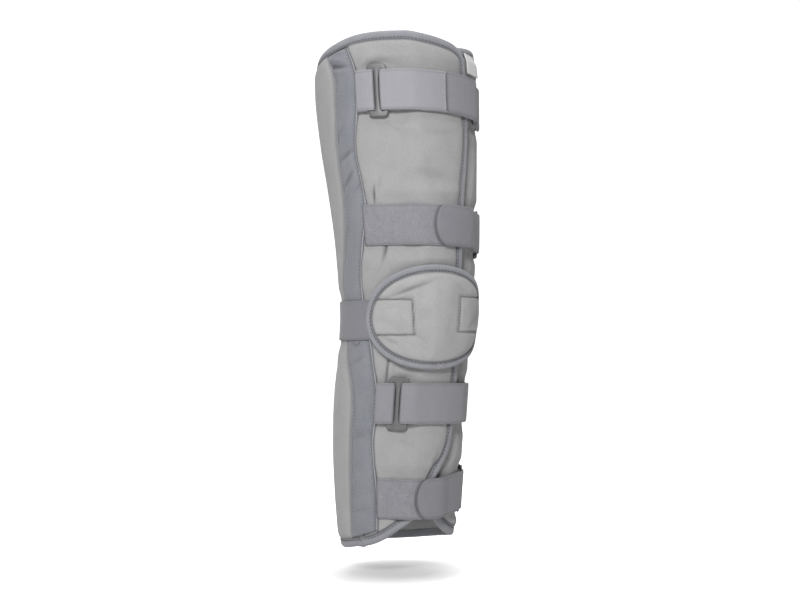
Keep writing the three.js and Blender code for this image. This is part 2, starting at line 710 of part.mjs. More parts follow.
// The knee pad: rings of knots round its middle, thin where the binding holds its edge.
const PAD_SEAT = FOAM_PRESSED + SEAT_GAP + STRAP + GAP;
const PAD_AROUND = 30;
const padEdge = edgeTurn(PAD_HEIGHT);
function padPoint(angle, inset) {
  const wide = PAD_HALF_TURN - turnOf(inset, PAD_HEIGHT) * 0.9;
  return {
    turn: PAD_TURN + wide * Math.cos(angle),
    height: PAD_HEIGHT + (PAD_HALF_HEIGHT - inset) * Math.sin(angle),
  };
}
const padBase = (turn) => PAD_SEAT + overBase(turn, padEdge);
const padRings = [
  { inset: BINDING_WALL + GAP, inner: EDGE_OUT + PAD_EDGE_CLEAR, outer: EDGE_OUT + FOAM_EDGE - PAD_EDGE_CLEAR },
  { inset: BINDING_WIDTH + 0.3, inner: EDGE_OUT + PAD_EDGE_CLEAR, outer: EDGE_OUT + FOAM_EDGE - PAD_EDGE_CLEAR },
  { inset: 17, inner: 0, outer: 0.8 * PAD_CROWN },
  { inset: 34, inner: 0, outer: PAD_CROWN },
];
const padKnots = [];
for (const ring of padRings)
  for (let k = 0; k < PAD_AROUND; k++) {
    const { turn, height } = padPoint((k / PAD_AROUND) * 2 * Math.PI, ring.inset);
    padKnots.push({ turn, height, inner: ring.inner + padBase(turn), outer: ring.outer + padBase(turn) });
  }
const padCells = [];
for (let r = 0; r < padRings.length - 1; r++)
  for (let k = 0; k < PAD_AROUND; k++) {
    const next = (k + 1) % PAD_AROUND;
    const a = r * PAD_AROUND;
    padCells.push([a + k, a + next, a + PAD_AROUND + next, a + PAD_AROUND + k]);
  }
const heart = (padRings.length - 1) * PAD_AROUND;
for (let k = 0; k < PAD_AROUND / 2 - 1; k++) {
  const low = (PAD_AROUND - k) % PAD_AROUND;
  padCells.push([heart + low, heart + k, heart + k + 1, heart + (low + PAD_AROUND - 1) % PAD_AROUND].filter((v, i, all) => all.indexOf(v) === i).reverse());
}
padCells.slice(-(PAD_AROUND / 2 - 1)).forEach((cell) => cell.reverse());
addSheet("knee_pad", FABRIC, 0.9, padKnots, padCells);
const padStations = [];
for (let k = 0; k < PAD_AROUND; k++)
  padStations.push(
    BINDING_SECTION.map(([inset, out]) => {
      const { turn, height } = padPoint((k / PAD_AROUND) * 2 * Math.PI, inset);
      return place(turn, height, out + padBase(turn));
    }),
  );
sweep("knee_pad_binding", TRIM, 0.8, padStations, true);

// The small folded tag, blank, on the under flap below its top binding.
const tagKnots = [];
const TAG_TURN = 42;
const TAG = 0.6;
const TAG_TOP = 0.963 * HEIGHT;
for (const [down, out] of [[TAG_LENGTH, FOAM + GAP], [TAG_LENGTH * 0.42, FOAM + GAP], [0, FOAM_SEAM + 1.8]])
  for (const s of [-0.5, 0.5]) {
    const height = TAG_TOP - down;
    tagKnots.push({ turn: TAG_TURN + turnOf(s * TAG_WIDTH, height), height, inner: out, outer: out + TAG });
  }
addSheet("care_tag", WHITE, 0.8, tagKnots, gridCells(3, 2));

export default brace;
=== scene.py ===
import bpy
import numpy as np
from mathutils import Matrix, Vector


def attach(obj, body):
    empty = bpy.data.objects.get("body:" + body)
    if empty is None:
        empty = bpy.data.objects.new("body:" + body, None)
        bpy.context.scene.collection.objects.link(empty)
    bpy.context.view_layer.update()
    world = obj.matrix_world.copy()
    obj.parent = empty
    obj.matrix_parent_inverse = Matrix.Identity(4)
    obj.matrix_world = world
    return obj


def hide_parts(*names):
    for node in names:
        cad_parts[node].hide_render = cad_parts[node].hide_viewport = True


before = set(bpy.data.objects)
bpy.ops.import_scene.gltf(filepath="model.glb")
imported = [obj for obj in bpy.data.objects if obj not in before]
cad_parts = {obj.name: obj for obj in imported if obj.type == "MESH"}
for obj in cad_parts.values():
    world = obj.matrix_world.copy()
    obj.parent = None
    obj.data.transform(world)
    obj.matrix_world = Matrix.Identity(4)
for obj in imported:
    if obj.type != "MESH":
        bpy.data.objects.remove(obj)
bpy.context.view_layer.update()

# ---------------------------------------------------------------- studio
# White paper that runs back and up into a backdrop. It glows to the camera except in a dim oval
# below the brace: painted shade in the shape of a shadow, in which the real shadow shows. Soft
# lights stand at the front left, overhead and behind.

FLOOR_Z = -0.2425
OVAL_SHARE = 0.76
OVAL_MIDDLE = (-0.0075, 0.0035, 0)
PHOTO_WIDTH = 800
CAMERA_DISTANCE, CAMERA_TURN, CAMERA_Z = 1.25, -25, -0.027
LENS_PIXELS, SHIFT_X_PIXELS, SHIFT_Y_PIXELS = 1293, -5.5, 50.5


def backdrop(name, z, near, far, half, bend, top):
    """A floor running back to a wall: flat along y, then a quarter circle, then straight up."""
    arc = np.linspace(0, np.pi / 2, 24)
    y = np.concatenate([[-near, 0], far + bend * np.sin(arc), [far + bend]])
    up = np.concatenate([[z, z], z + bend * (1 - np.cos(arc)), [top]])
    x = np.array([-half, half])
    grid = np.stack([np.repeat(x[:, None], len(y), 1), np.tile(y, (2, 1)), np.tile(up, (2, 1))], -1)
    n = len(y)
    faces = [(i, n + i, n + i + 1, i + 1) for i in range(n - 1)]
    mesh = bpy.data.meshes.new(name)
    mesh.from_pydata(grid.reshape(-1, 3).tolist(), [], faces)
    obj = bpy.data.objects.new(name, mesh)
    bpy.context.collection.objects.link(obj)
    for polygon in mesh.polygons:
        polygon.use_smooth = True
    return obj


def wire(tree, kind, values=None, **links):
    """A node with its plain values and its linked inputs set, sockets named with _ for a space."""
    node = tree.nodes.new(kind)
    for key, value in (values or {}).items():
        if isinstance(key, str) and hasattr(node, key):
            setattr(node, key, value)
        else:
            node.inputs[key].default_value = value
    for key, source in links.items():
        where = int(key[1:]) if key[0] == "i" and key[1:].isdigit() else key.replace("_", " ")
        tree.links.new(source, node.inputs[where])
    return node


floor = backdrop("studio_floor", FLOOR_Z, 6.0, 2.5, 8.0, 1.5, 6.0)
paper = bpy.data.materials.new("backdrop_paper")
paper.use_nodes = True
tree = paper.node_tree
sheet = tree.nodes["Principled BSDF"]
sheet.inputs["Base Color"].default_value = (0.74, 0.74, 0.74, 1)
sheet.inputs["Roughness"].default_value = 0.95
sheet.inputs["Specular IOR Level"].default_value = 0.1
sheet.inputs["Emission Strength"].default_value = 1.0
spot = wire(tree, "ShaderNodeTexCoord")
wide = wire(tree, "ShaderNodeVectorMath", {"operation": "MULTIPLY", 1: (OVAL_SHARE, 1, 1)},
            i0=spot.outputs["Object"])
away = wire(tree, "ShaderNodeVectorMath", {"operation": "DISTANCE", 1: OVAL_MIDDLE},
            i0=wide.outputs["Vector"])
# Painted shadow: the glow falls to a fifth in an oval under the brace.
glow = wire(tree, "ShaderNodeMapRange", {"interpolation_type": "SMOOTHSTEP", "From Min": 0.2420,
                                         "From Max": 0.2625, "To Min": 0.2, "To Max": 1.0},
            Value=away.outputs["Value"])
seen_by = wire(tree, "ShaderNodeLightPath")
only = wire(tree, "ShaderNodeMath", {"operation": "MULTIPLY"}, i0=glow.outputs["Result"],
            i1=seen_by.outputs["Is Camera Ray"])
tree.links.new(only.outputs[0], sheet.inputs["Emission Color"])
floor.data.materials.append(paper)

for name, place, aim, side, watts in (("key_softbox", (-1.45, -2.05, 1.35), (0, 0, 0.05), 0.8, 57),
                                      ("top_softbox", (0, 0, 2.2), (0, 0, 0), 1.6, 34),
                                      ("back_softbox", (0.97, 2.05, 0.9), (0, 0, 0), 1.2, 28)):
    light = bpy.data.lights.new(name, "AREA")
    light.shape = "RECTANGLE"
    light.size = light.size_y = side
    light.energy = watts
    lamp = bpy.data.objects.new(name, light)
    bpy.context.collection.objects.link(lamp)
    lamp.location = place
    lamp.rotation_euler = (Vector(aim) - Vector(place)).to_track_quat("-Z", "Y").to_euler()
    lamp.visible_camera = False
world = bpy.data.worlds.new("studio_air")
world.use_nodes = True
air = world.node_tree.nodes["Background"]
air.inputs["Color"].default_value = (1, 1, 1, 1)
looked_at = wire(world.node_tree, "ShaderNodeLightPath")
pale = wire(world.node_tree, "ShaderNodeMapRange", {"To Min": 0.08, "To Max": 1.0},
            Value=looked_at.outputs["Is Camera Ray"])
world.node_tree.links.new(pale.outputs["Result"], air.inputs["Strength"])
bpy.context.scene.world = world
bpy.context.scene.view_settings.view_transform = "Standard"

camera_data = bpy.data.cameras.new("photo_camera")
camera_data.sensor_width = 36.0
camera_data.lens = 36.0 * LENS_PIXELS / PHOTO_WIDTH
camera_data.shift_x = SHIFT_X_PIXELS / PHOTO_WIDTH
camera_data.shift_y = SHIFT_Y_PIXELS / PHOTO_WIDTH
camera = bpy.data.objects.new("photo_camera", camera_data)
bpy.context.collection.objects.link(camera)
camera_way = np.radians(CAMERA_TURN)
camera.location = (CAMERA_DISTANCE * np.sin(camera_way), -CAMERA_DISTANCE * np.cos(camera_way), CAMERA_Z)
camera.rotation_euler = (np.pi / 2, 0, camera_way)
bpy.context.scene.camera = camera

# ---------------------------------------------------------------- front flap
# The large panel sewn in at the left seam and wrapped over the front: brushed knit laminated to
# 8 mm foam, cut to a rounded outline, pressed thin where straps cross it and where it is bound.

HEIGHT, THIGH, KNEE = 487.0, 142.0, 219.0
PAD_HEIGHT, PAD_HALF_HEIGHT = 221.0, 48.0
FOAM = 8.0
RIM_GROOVE = 8.3
LEG_AT = [0, 0.1, 0.2, 0.3, 0.4, 0.47, 0.54, 0.6, 0.7, 0.8, 0.9, 1]
LEG_ACROSS = [0.69, 0.745, 0.778, 0.79, 0.77, 0.775, 0.815, 0.845, 0.895, 0.965, 1.008, 1.0]
LEG_DEEP = [0.68, 0.74, 0.79, 0.8, 0.79, 0.8, 0.83, 0.86, 0.9, 0.95, 0.98, 0.98]
LEG_FORWARD = [-0.14, -0.14, -0.13, -0.09, -0.03, 0, 0.01, 0.005, -0.045, -0.11, -0.155, -0.165]


def through(xs, ys, x):
    """A smooth curve through points: cubic pieces whose slopes come from the points beside them."""
    xs, ys = np.asarray(xs, float), np.asarray(ys, float)
    slope = np.gradient(ys, xs)
    x = np.clip(x, xs[0], xs[-1])
    i = np.clip(np.searchsorted(xs, x) - 1, 0, len(xs) - 2)
    span = xs[i + 1] - xs[i]
    t = (x - xs[i]) / span
    start = (2 * t**3 - 3 * t**2 + 1) * ys[i] + (t**3 - 2 * t**2 + t) * span * slope[i]
    return start + (3 * t**2 - 2 * t**3) * ys[i + 1] + (t**3 - t**2) * span * slope[i + 1]


def on_leg(turn, height, out):
    """A point at a turn from the front, a height above the bottom rim and a distance out from the
    lining: an ellipse at each height whose half widths and shift follow the leg. Metres."""
    turn, height, out = np.broadcast_arrays(turn, height, out)
    at = height / HEIGHT
    across = through(LEG_AT, LEG_ACROSS, at) * THIGH / 2 + out
    deep = through(LEG_AT, LEG_DEEP, at) * THIGH / 2 + out
    forward = through(LEG_AT, LEG_FORWARD, at) * THIGH
    a = np.radians(turn)
    return np.stack([across * np.sin(a), -deep * np.cos(a) - forward, height - KNEE], -1) / 1000


def degrees(length, height):
    """Turn that a length in mm takes up along the surface at a height."""
    at = height / HEIGHT
    mean = (through(LEG_AT, LEG_ACROSS, at) + through(LEG_AT, LEG_DEEP, at)) * THIGH / 4 + 4
    return np.degrees(length / mean)


def ease(x, low, high):
    """0 below low, 1 above high, and a smooth step between."""
    t = np.clip((x - low) / (high - low), 0, 1)
    return t * t * (3 - 2 * t)


STRAP_AT = {"upper_thigh": 430.5, "lower_thigh": 306.0, "upper_calf": 141.5, "lower_calf": 52.0}
STRAP_SINK = {"upper_thigh": 5.0, "lower_thigh": 3.0, "upper_calf": 1.0, "lower_calf": -3.0}


def strap_height(name, turn):
    """The strap's middle line: level on the left, sinking towards the right."""
    return STRAP_AT[name] - STRAP_SINK[name] * np.clip((turn - 5) / 45, 0, 1) ** 1.5


def pressed(turn, height):
    """How hard the foam is pressed, 0 to 1: full under straps, knee band and pad, fading beside."""
    most = np.zeros(np.broadcast(turn, height).shape)
    for name in STRAP_AT:
        off = np.abs(height - strap_height(name, turn)) - 20.5
        most = np.maximum(most, (1 - ease(off, 0, 13)) * (turn < 88))
    most = np.maximum(most, 1 - ease(np.abs(height - KNEE) - 20, 0, 13))
    pad = np.hypot((turn - 3) / 59, (height - PAD_HEIGHT) / PAD_HALF_HEIGHT)
    return np.maximum(most, 1 - ease(pad, 0.9, 1.2))


def flap_lift(turn):
    """How far the flap stands off the leg: 6 mm where the under flap lies beneath it."""
    return 6 * ease(turn, -26, -8)


def rim_curve(turns, heights, side, step):
    """A rim walked at even steps in mm: turn, height, and the way inwards as turn and height."""
    keys = np.arange(len(turns))
    t = np.linspace(0, len(turns) - 1, 4000)
    turn, height = through(keys, turns, t), through(keys, heights, t) * HEIGHT
    mm = 1 / degrees(1.0, height)
    along, up = np.gradient(turn) * mm, np.gradient(height)
    far = np.concatenate([[0], np.cumsum(np.hypot(along, up)[1:])])
    even = np.linspace(0, far[-1], int(far[-1] / step) + 1)
    pick = lambda values: np.interp(even, far, values)
    length = np.hypot(pick(along), pick(up))
    in_turn = -side * pick(up) / length / pick(mm)
    return pick(turn), pick(height), in_turn, side * pick(along) / length, even


def gap_to(turn, height, rim_turn, rim_height):
    """Distance in mm from each knot to the nearest point of a rim, a slice of knots at a time."""
    flat_turn, flat_height = np.ravel(turn), np.ravel(height)
    mm = 1 / degrees(1.0, flat_height)
    parts = []
    for cut in range(0, len(flat_turn), 4000):
        part = slice(cut, cut + 4000)
        across = (flat_turn[part, None] - rim_turn[None]) * mm[part, None]
        up = flat_height[part, None] - rim_height[None]
        parts.append(np.sqrt((across**2 + up**2).min(1)))
    return np.concatenate(parts).reshape(np.shape(turn))


def grid_faces(rows, columns, around=False):
    """Quads of a grid of points laid row after row; around joins the last column to the first."""
    j = np.arange(rows - 1)[:, None]
    i = np.arange(columns if around else columns - 1)[None]
    right = (i + 1) % columns
    quads = [j * columns + i, j * columns + right, (j + 1) * columns + right, (j + 1) * columns + i]
    return np.stack(np.broadcast_arrays(*quads), -1).reshape(-1, 4)


def tube_faces(rows, columns):
    """Quads of a closed band of points laid row after row, and a face over each end."""
    ring = np.arange(columns)[None]
    return [grid_faces(rows, columns, True), ring[:, ::-1], (rows - 1) * columns + ring]


def shell_faces(rows, columns):
    """Faces of an outer skin, an inner one behind it and the rim between, and how many a skin has."""
    n = rows * columns
    skin = grid_faces(rows, columns)
    edge = np.concatenate([
        np.arange(columns), np.arange(1, rows) * columns + columns - 1,
        n - 2 - np.arange(columns - 1), np.arange(rows - 2, -1, -1) * columns])
    rim = np.stack([edge[1:], edge[:-1], edge[:-1] + n, edge[1:] + n], -1)
    return np.concatenate([skin, skin[:, ::-1] + n, rim]), len(skin)


def make(name, points, faces, materials, uv=None, which=None, nodes=(), shade=None):
    """A mesh object from arrays, turned to face out, riding on the part and standing for nodes."""
    points = np.asarray(points, float).reshape(-1, 3)
    faces = [np.asarray(f) for f in (faces if isinstance(faces, list) else [faces])]
    volume = 0.0
    for f in faces:
        for k in range(1, f.shape[1] - 1):
            a, b, c = points[f[:, 0]], points[f[:, k]], points[f[:, k + 1]]
            volume += np.einsum("ij,ij->i", a, np.cross(b, c)).sum()
    if volume < 0:
        faces = [f[:, ::-1] for f in faces]
    mesh = bpy.data.meshes.new(name)
    mesh.from_pydata(points.tolist(), [], [row for f in faces for row in f.tolist()])
    mesh.update()
    mesh.polygons.foreach_set("use_smooth", np.ones(len(mesh.polygons), bool))
    for material in materials:
        mesh.materials.append(material)
    if which is not None:
        mesh.polygons.foreach_set("material_index", np.asarray(which, np.int32))
    if uv is not None:
        layer = mesh.uv_layers.new(name="lay")
        corner = np.empty(len(mesh.loops), np.int32)
        mesh.loops.foreach_get("vertex_index", corner)
        layer.data.foreach_set("uv", np.asarray(uv, float).reshape(-1, 2)[corner].ravel())
    # Painted shade for grooves, creases and spots in shadow, kept as a point attribute.
    if shade is not None:
        layer = mesh.attributes.new("painted_shade", "FLOAT", "POINT")
        layer.data.foreach_set("value", np.asarray(shade, float).ravel())
    obj = bpy.data.objects.new(name, mesh)
    bpy.context.collection.objects.link(obj)
    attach(obj, "root")
    if nodes:
        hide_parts(*nodes)
    return obj


def sandwich(name, turn, height, inner, outer, materials, nodes, painted_shade):
    """A panel from grids of turn and height: an outer and an inner skin joined round the edge."""
    faces, one_skin = shell_faces(*turn.shape)
    points = np.concatenate([on_leg(turn, height, out).reshape(-1, 3) for out in (outer, inner)])
    uv = np.stack([turn / degrees(1.0, height), height], -1).reshape(-1, 2) / 10
    which = None
    if len(materials) > 1:
        which = np.repeat([0, 1, 0], [one_skin, one_skin, len(faces) - 2 * one_skin])
    # The painted shade lies on the outer skin only.
    shade = np.concatenate([np.ravel(painted_shade), np.zeros(turn.size)])
    return make(name, points, faces, materials, np.tile(uv, (2, 1)), which, nodes, shade)


def new_group(name, inputs, outputs):
    """An empty shader group with named sockets."""
    group = bpy.data.node_groups.new(name, "ShaderNodeTree")
    for label, kind, value in inputs:
        socket = group.interface.new_socket(label, in_out="INPUT", socket_type=kind)
        if value is not None:
            socket.default_value = value
    for label, kind in outputs:
        group.interface.new_socket(label, in_out="OUTPUT", socket_type=kind)
    return group, group.nodes.new("NodeGroupInput"), group.nodes.new("NodeGroupOutput")


def nap_group():
    """Brushed nap: fine fibres and soft clouds of lighter and darker lie, from Object coordinates."""
    group, given, put = new_group(
        "brushed_nap",
        [("Fibre Scale", "NodeSocketFloat", 900.0), ("Cloud Scale", "NodeSocketFloat", 60.0)],
        [("Height", "NodeSocketFloat"), ("Clouds", "NodeSocketFloat"), ("Fibres", "NodeSocketFloat")])
    where = wire(group, "ShaderNodeTexCoord")
    fibre = wire(group, "ShaderNodeTexNoise", {"Detail": 4.0, "Roughness": 0.65},
                 Vector=where.outputs["Object"], Scale=given.outputs["Fibre Scale"])
    cloud = wire(group, "ShaderNodeTexNoise", {"Detail": 3.0, "Roughness": 0.55},
                 Vector=where.outputs["Object"], Scale=given.outputs["Cloud Scale"])
    mixed = wire(group, "ShaderNodeMath", {"operation": "MULTIPLY_ADD", 1: 0.35},
                 i0=cloud.outputs["Fac"], i2=fibre.outputs["Fac"])
    group.links.new(mixed.outputs[0], put.inputs["Height"])
    group.links.new(cloud.outputs["Fac"], put.inputs["Clouds"])
    group.links.new(fibre.outputs["Fac"], put.inputs["Fibres"])
    return group


NAP = nap_group()


def tone(tree, shader, low, high, factor, painted_shade=None, deep=(0.115, 0.115, 0.13)):
    """Base colour between two tones by a factor, with painted shade mixed in where the mesh's
    shade attribute marks grooves, creases and spots in shadow.
    """
    blend = wire(tree, "ShaderNodeMix", {"data_type": "RGBA"})
    blend.inputs[6].default_value = (*low, 1)
    blend.inputs[7].default_value = (*high, 1)
    tree.links.new(factor, blend.inputs[0])
    last = blend.outputs[2]
    if painted_shade:
        mark = wire(tree, "ShaderNodeAttribute", {"attribute_name": "painted_shade"})
        dark = wire(tree, "ShaderNodeMix", {"data_type": "RGBA"})
        dark.inputs[7].default_value = (*deep, 1)
        tree.links.new(mark.outputs["Fac"], dark.inputs[0])
        tree.links.new(last, dark.inputs[6])
        last = dark.outputs[2]
    tree.links.new(last, shader.inputs["Base Color"])


def spread(tree, source, low, high):
    """A 0 to 1 factor from a value that runs between low and high."""
    node = wire(tree, "ShaderNodeMapRange", {"From Min": low, "From Max": high}, Value=source)
    return node.outputs["Result"]


def knit_material(name, low, high, roughness, fibre, cloud, depth, sheen, painted_shade=True):
    """Brushed knit: two close greys in clouds, a fibre bump and a soft sheen."""
    material = bpy.data.materials.new(name)
    material.use_nodes = True
    tree = material.node_tree
    shader = tree.nodes["Principled BSDF"]
    shader.inputs["Roughness"].default_value = roughness
    shader.inputs["Specular IOR Level"].default_value = 0.25
    shader.inputs["Sheen Weight"].default_value = sheen
    shader.inputs["Sheen Roughness"].default_value = 0.5
    nap = wire(tree, "ShaderNodeGroup", {"node_tree": NAP})
    nap.inputs["Fibre Scale"].default_value = fibre
    nap.inputs["Cloud Scale"].default_value = cloud
    # Painted shade from the mesh's attribute is mixed in where asked.
    tone(tree, shader, low, high, spread(tree, nap.outputs["Height"], 0.45, 0.9), painted_shade)
    bump = wire(tree, "ShaderNodeBump", {"Strength": 0.55, "Distance": depth},
                Height=nap.outputs["Height"])
    tree.links.new(bump.outputs["Normal"], shader.inputs["Normal"])
    return material


FOAM_CLOTH = knit_material("brushed_knit", (0.345, 0.342, 0.342), (0.445, 0.442, 0.442),
                           0.92, 1000, 55, 0.0012, 0.2)
LINING = knit_material("lining_knit", (0.42, 0.42, 0.425), (0.50, 0.50, 0.505),
                       0.95, 800, 40, 0.0005, 0.1, False)

FLAP_TURN = [-90, -71, -52, -36, -21, -9.5, 2.5, 12, 21, 26, 27, 23.5, 23.5, 26,
             30, 31, 30, 27.5, 19, 7, -8, -21, -50, -71, -95]
FLAP_UP = [0.002, 0.008, 0.014, 0.027, 0.047, 0.068, 0.112, 0.156, 0.19, 0.24, 0.34, 0.56,
           0.61, 0.69, 0.77, 0.84, 0.92, 0.96, 0.979, 0.988, 0.995, 1.0, 0.997, 0.987, 0.972]
TAPE_AT = [0, 0.1, 0.22, 0.3, 0.38, 0.5, 0.59, 0.65, 0.78, 0.86, 0.93, 0.955, 1]
TAPE_BACK = [-73, -72, -71, -71, -83, -95, -86, -81, -77, -73, -74, -79, -87]
TAPE_FRONT = [-46, -44, -48, -46, -54, -67, -64, -58, -59, -54, -54.5, -58, -66]


def tape_edge(edge, height):
    """Turn of the left tape's back or front edge at a height: the straps pull it forward."""
    return through(TAPE_AT, edge, height / HEIGHT)


def left_seam(height):
    return (tape_edge(TAPE_BACK, height) + tape_edge(TAPE_FRONT, height)) / 2


def grid_lines(count, both=0.5):
    """Places from 0 to 1, drawn closer at both ends."""
    t = np.linspace(0, 1, count)
    return (1 - both) * t + both * (0.5 - 0.5 * np.cos(np.pi * t))


def patch(bottom, free, top, seam, across, up):
    """A grid filled in between four edges, each a (turn, height) pair of arrays from its start to
    its end: the two pairs of facing edges are blended and the corners' share is taken off."""
    u = grid_lines(across)[None, :]
    v = grid_lines(up, 0.35)[:, None]
    grids = []
    for k in range(2):
        walk = lambda edge, t: np.interp(t, np.linspace(0, 1, len(edge[k])), edge[k])
        low, high = walk(bottom, u), walk(top, u)
        left, right = walk(seam, v), walk(free, v)
        corners = ((1 - u) * (1 - v) * bottom[k][0] + u * (1 - v) * bottom[k][-1]
                   + (1 - u) * v * top[k][0] + u * v * top[k][-1])
        grids.append((1 - v) * low + v * high + (1 - u) * left + u * right - corners)
    return grids


def flap_grid(turns, heights, corner_keys, side, seam_turn, across, up):
    """The grid of a flap: its rim cut at the seam and at two corners into bottom, free edge, top."""
    rim_turn, rim_height, _, _, _ = rim_curve(turns, heights, side, 0.5)
    marks = []
    for key in corner_keys:
        marks.append(np.argmin((rim_turn - turns[key]) ** 2 + (rim_height - heights[key] * HEIGHT) ** 2))
    past = (rim_turn - seam_turn(rim_height)) * side > 0
    first, last = np.argmax(past), len(past) - 1 - np.argmax(past[::-1])
    a, b = marks
    bottom = (rim_turn[first:a + 1], rim_height[first:a + 1])
    free = (rim_turn[a:b + 1], rim_height[a:b + 1])
    top = (rim_turn[b:last + 1][::-1], rim_height[b:last + 1][::-1])
    level = np.linspace(bottom[1][0], top[1][0], 300)
    seam = (seam_turn(level), level)
    turn, height = patch(bottom, free, top, seam, across, up)
    return turn, height, rim_turn[first:last + 1], rim_height[first:last + 1]


def bell(x, middle, width):
    """1 at the middle, falling off to both sides over a width: e to the minus square."""
    return np.exp(-((x - middle) / width) ** 2)


def crease(turn, height, at, angle, long, wide, deep):
    """A soft fold: a ridge or dent of a bell shape, longer one way, turned by an angle."""
    x, y = (turn - at[0]) / degrees(1.0, height), height - at[1]
    a = np.radians(angle)
    along, across = x * np.cos(a) + y * np.sin(a), -x * np.sin(a) + y * np.cos(a)
    return deep * np.exp(-(along / long) ** 2 - (across / wide) ** 2)


def folded(turn, height, folds, shade=0.0, past=0.0, most=2.5):
    """Folds added up, and the shade in their dents, for the depth past a limit."""
    dents = [crease(turn, height, *fold) for fold in folds]
    return sum(dents), shade * sum(np.clip(-dent - past, 0, most) for dent in dents)


def roll(gap, start, width):
    """A rounded shoulder: rises from 0 at start to 1 after width, steep first, like pressed foam."""
    t = np.clip((gap - start) / width, 0, 1)
    return np.sqrt(1 - (1 - t) ** 2)


def foam_skin(turn, height, rim_gap, tape_gap):
    """The foam's outer face: full thickness, less where pressed, rolled down to the binding and
    to the tape's edge."""
    body = FOAM - 2 * pressed(turn, height)
    edge = 4.2 + (body - 4.2) * roll(rim_gap, 7.2, 9)
    return 4.4 + (edge - 4.4) * roll(tape_gap, -0.5, 9)


def foam_under(rim_gap):
    """The foam's inner face: on the leg, and drawn out to the binding at the rim."""
    return 1.4 * (1 - roll(rim_gap, 6, 12))


turn, height, rim_turn, rim_height = flap_grid(
    FLAP_TURN, FLAP_UP, (5, 18), 1, lambda h: left_seam(h) + degrees(0.5, h), 90, 330)
rim_gap = gap_to(turn, height, rim_turn, rim_height)
tape_gap = (turn - tape_edge(TAPE_FRONT, height)) / degrees(1.0, height)
outer = foam_skin(turn, height, rim_gap, tape_gap)
dents, shade_in_folds = folded(turn, height, (
    ((-47.5, 334), 80, 9, 1.1, -3.2), ((-46, 340), 78, 13, 2.6, 1.3), ((-42, 344), 80, 11, 2.2, -0.9),
    ((-42.5, 282), 80, 9, 1.1, -3.4), ((-38, 273), 82, 12, 2.8, 1.1), ((-46, 268), 60, 10, 2.0, -0.8),
    ((-38, 170), 89, 20, 1.1, -3.0), ((-34.5, 172), 88, 16, 2.7, 1.0),
    ((6, 84), 72, 13, 2.2, -1.6), ((9, 86), 75, 11, 2.8, 0.7),
    ((-40, 456), 12, 10, 3.0, -1.6), ((-30, 458), -20, 9, 2.5, -0.9), ((-34, 401), 0, 13, 4.0, -0.7),
    ((-26, 395), -35, 14, 2.4, -0.8), ((-24, 108), 0, 13, 4.0, -0.6), ((-16, 104), -25, 12, 2.4, -0.7),
    ((-20, 376), 12, 42, 11, 0.9), ((-2, 352), -12, 34, 9, -0.8), ((-14, 335), 4, 46, 7, 0.8),
    ((-5, 100), 20, 30, 9, 0.8), ((-12, 82), 2, 40, 6, 0.8), ((-20, 272), 3, 36, 7, 0.6),
    ((-30, 463), -6, 30, 6, 0.6), ((2, 392), 8, 22, 6, -0.7), ((-10, 368), 60, 26, 8, 0.5),
    ((10, 300), 85, 16, 3.0, -0.6), ((-33, 66), 40, 12, 2.6, -0.7), ((-38, 36), 20, 14, 3.0, 0.7)),
    shade=0.34, past=0.4)
outer += dents
wave = np.sin(turn * 0.11 + height * 0.043) * np.sin(height * 0.071 - turn * 0.05)
outer += 0.25 * wave * roll(rim_gap, 10, 16) * (1 - pressed(turn, height))
inner = foam_under(rim_gap)
# Painted shade in the groove by the binding, along the tape's edge and in the folds' dents.
painted_shade = 0.95 * bell(rim_gap, RIM_GROOVE, 1.1) + bell(tape_gap, 1.9, 0.9)
front_flap = sandwich("front_flap_cloth", turn, height, inner + flap_lift(turn), outer + flap_lift(turn),
                      [FOAM_CLOTH, LINING], ["front_flap"],
                      np.clip(painted_shade + shade_in_folds, 0, 1))

# ---------------------------------------------------------------- under flap
# The matching panel from the right seam, which runs forward beneath the front flap. Its hidden
# part is pressed thin; the rest shows to the right of the front flap, from rim to rim.

UNDER_TURN = [118, 90, 62, 39, 24, 13, 4, -1, -2, -2, 0, 4, 14, 30, 62, 90, 118]
UNDER_UP = [0.008, 0.013, 0.021, 0.031, 0.046, 0.068, 0.105, 0.16, 0.3, 0.7, 0.86,
            0.93, 0.97, 0.982, 0.988, 0.973, 0.956]
RIGHT_SEAM, RIGHT_TAPE_HALF = 96.0, 12.5
free_turn, free_height, _, _, _ = rim_curve(FLAP_TURN, FLAP_UP, 1, 1.0)
free_edge = (free_turn > -12) & (free_height < 470)


def flap_edge(height):
    """Turn of the front flap's free edge at a height."""
    return np.interp(height, free_height[free_edge], free_turn[free_edge])


turn, height, rim_turn, rim_height = flap_grid(
    UNDER_TURN, UNDER_UP, (5, 12), -1, lambda h: RIGHT_SEAM - degrees(0.5, h), 70, 280)
rim_gap = gap_to(turn, height, rim_turn, rim_height)
tape_gap = (RIGHT_SEAM - turn) / degrees(1.0, height) - RIGHT_TAPE_HALF
outer = foam_skin(turn, height, rim_gap, tape_gap)
outer += folded(turn, height, (
    ((45, 360), 80, 34, 9, 0.9), ((38, 100), 75, 20, 7, 0.8), ((34, 345), 70, 16, 2.6, -0.9),
    ((42, 388), -10, 16, 5, -0.9), ((40, 268), 80, 12, 4, 0.7), ((36, 182), 85, 14, 3, -0.8)))[0]
for name in ("lower_thigh", "lower_calf"):
    beside = np.abs(height - strap_height(name, turn)) - 21
    outer -= 1.1 * ease(turn, 48, 60) * (1 - ease(beside, 0, 12)) * (turn < 86)
shown = ease(turn, flap_edge(height) + 4, flap_edge(height) + 16)
outer = outer * shown + np.minimum(outer, 4.5) * (1 - shown)
inner = foam_under(rim_gap)
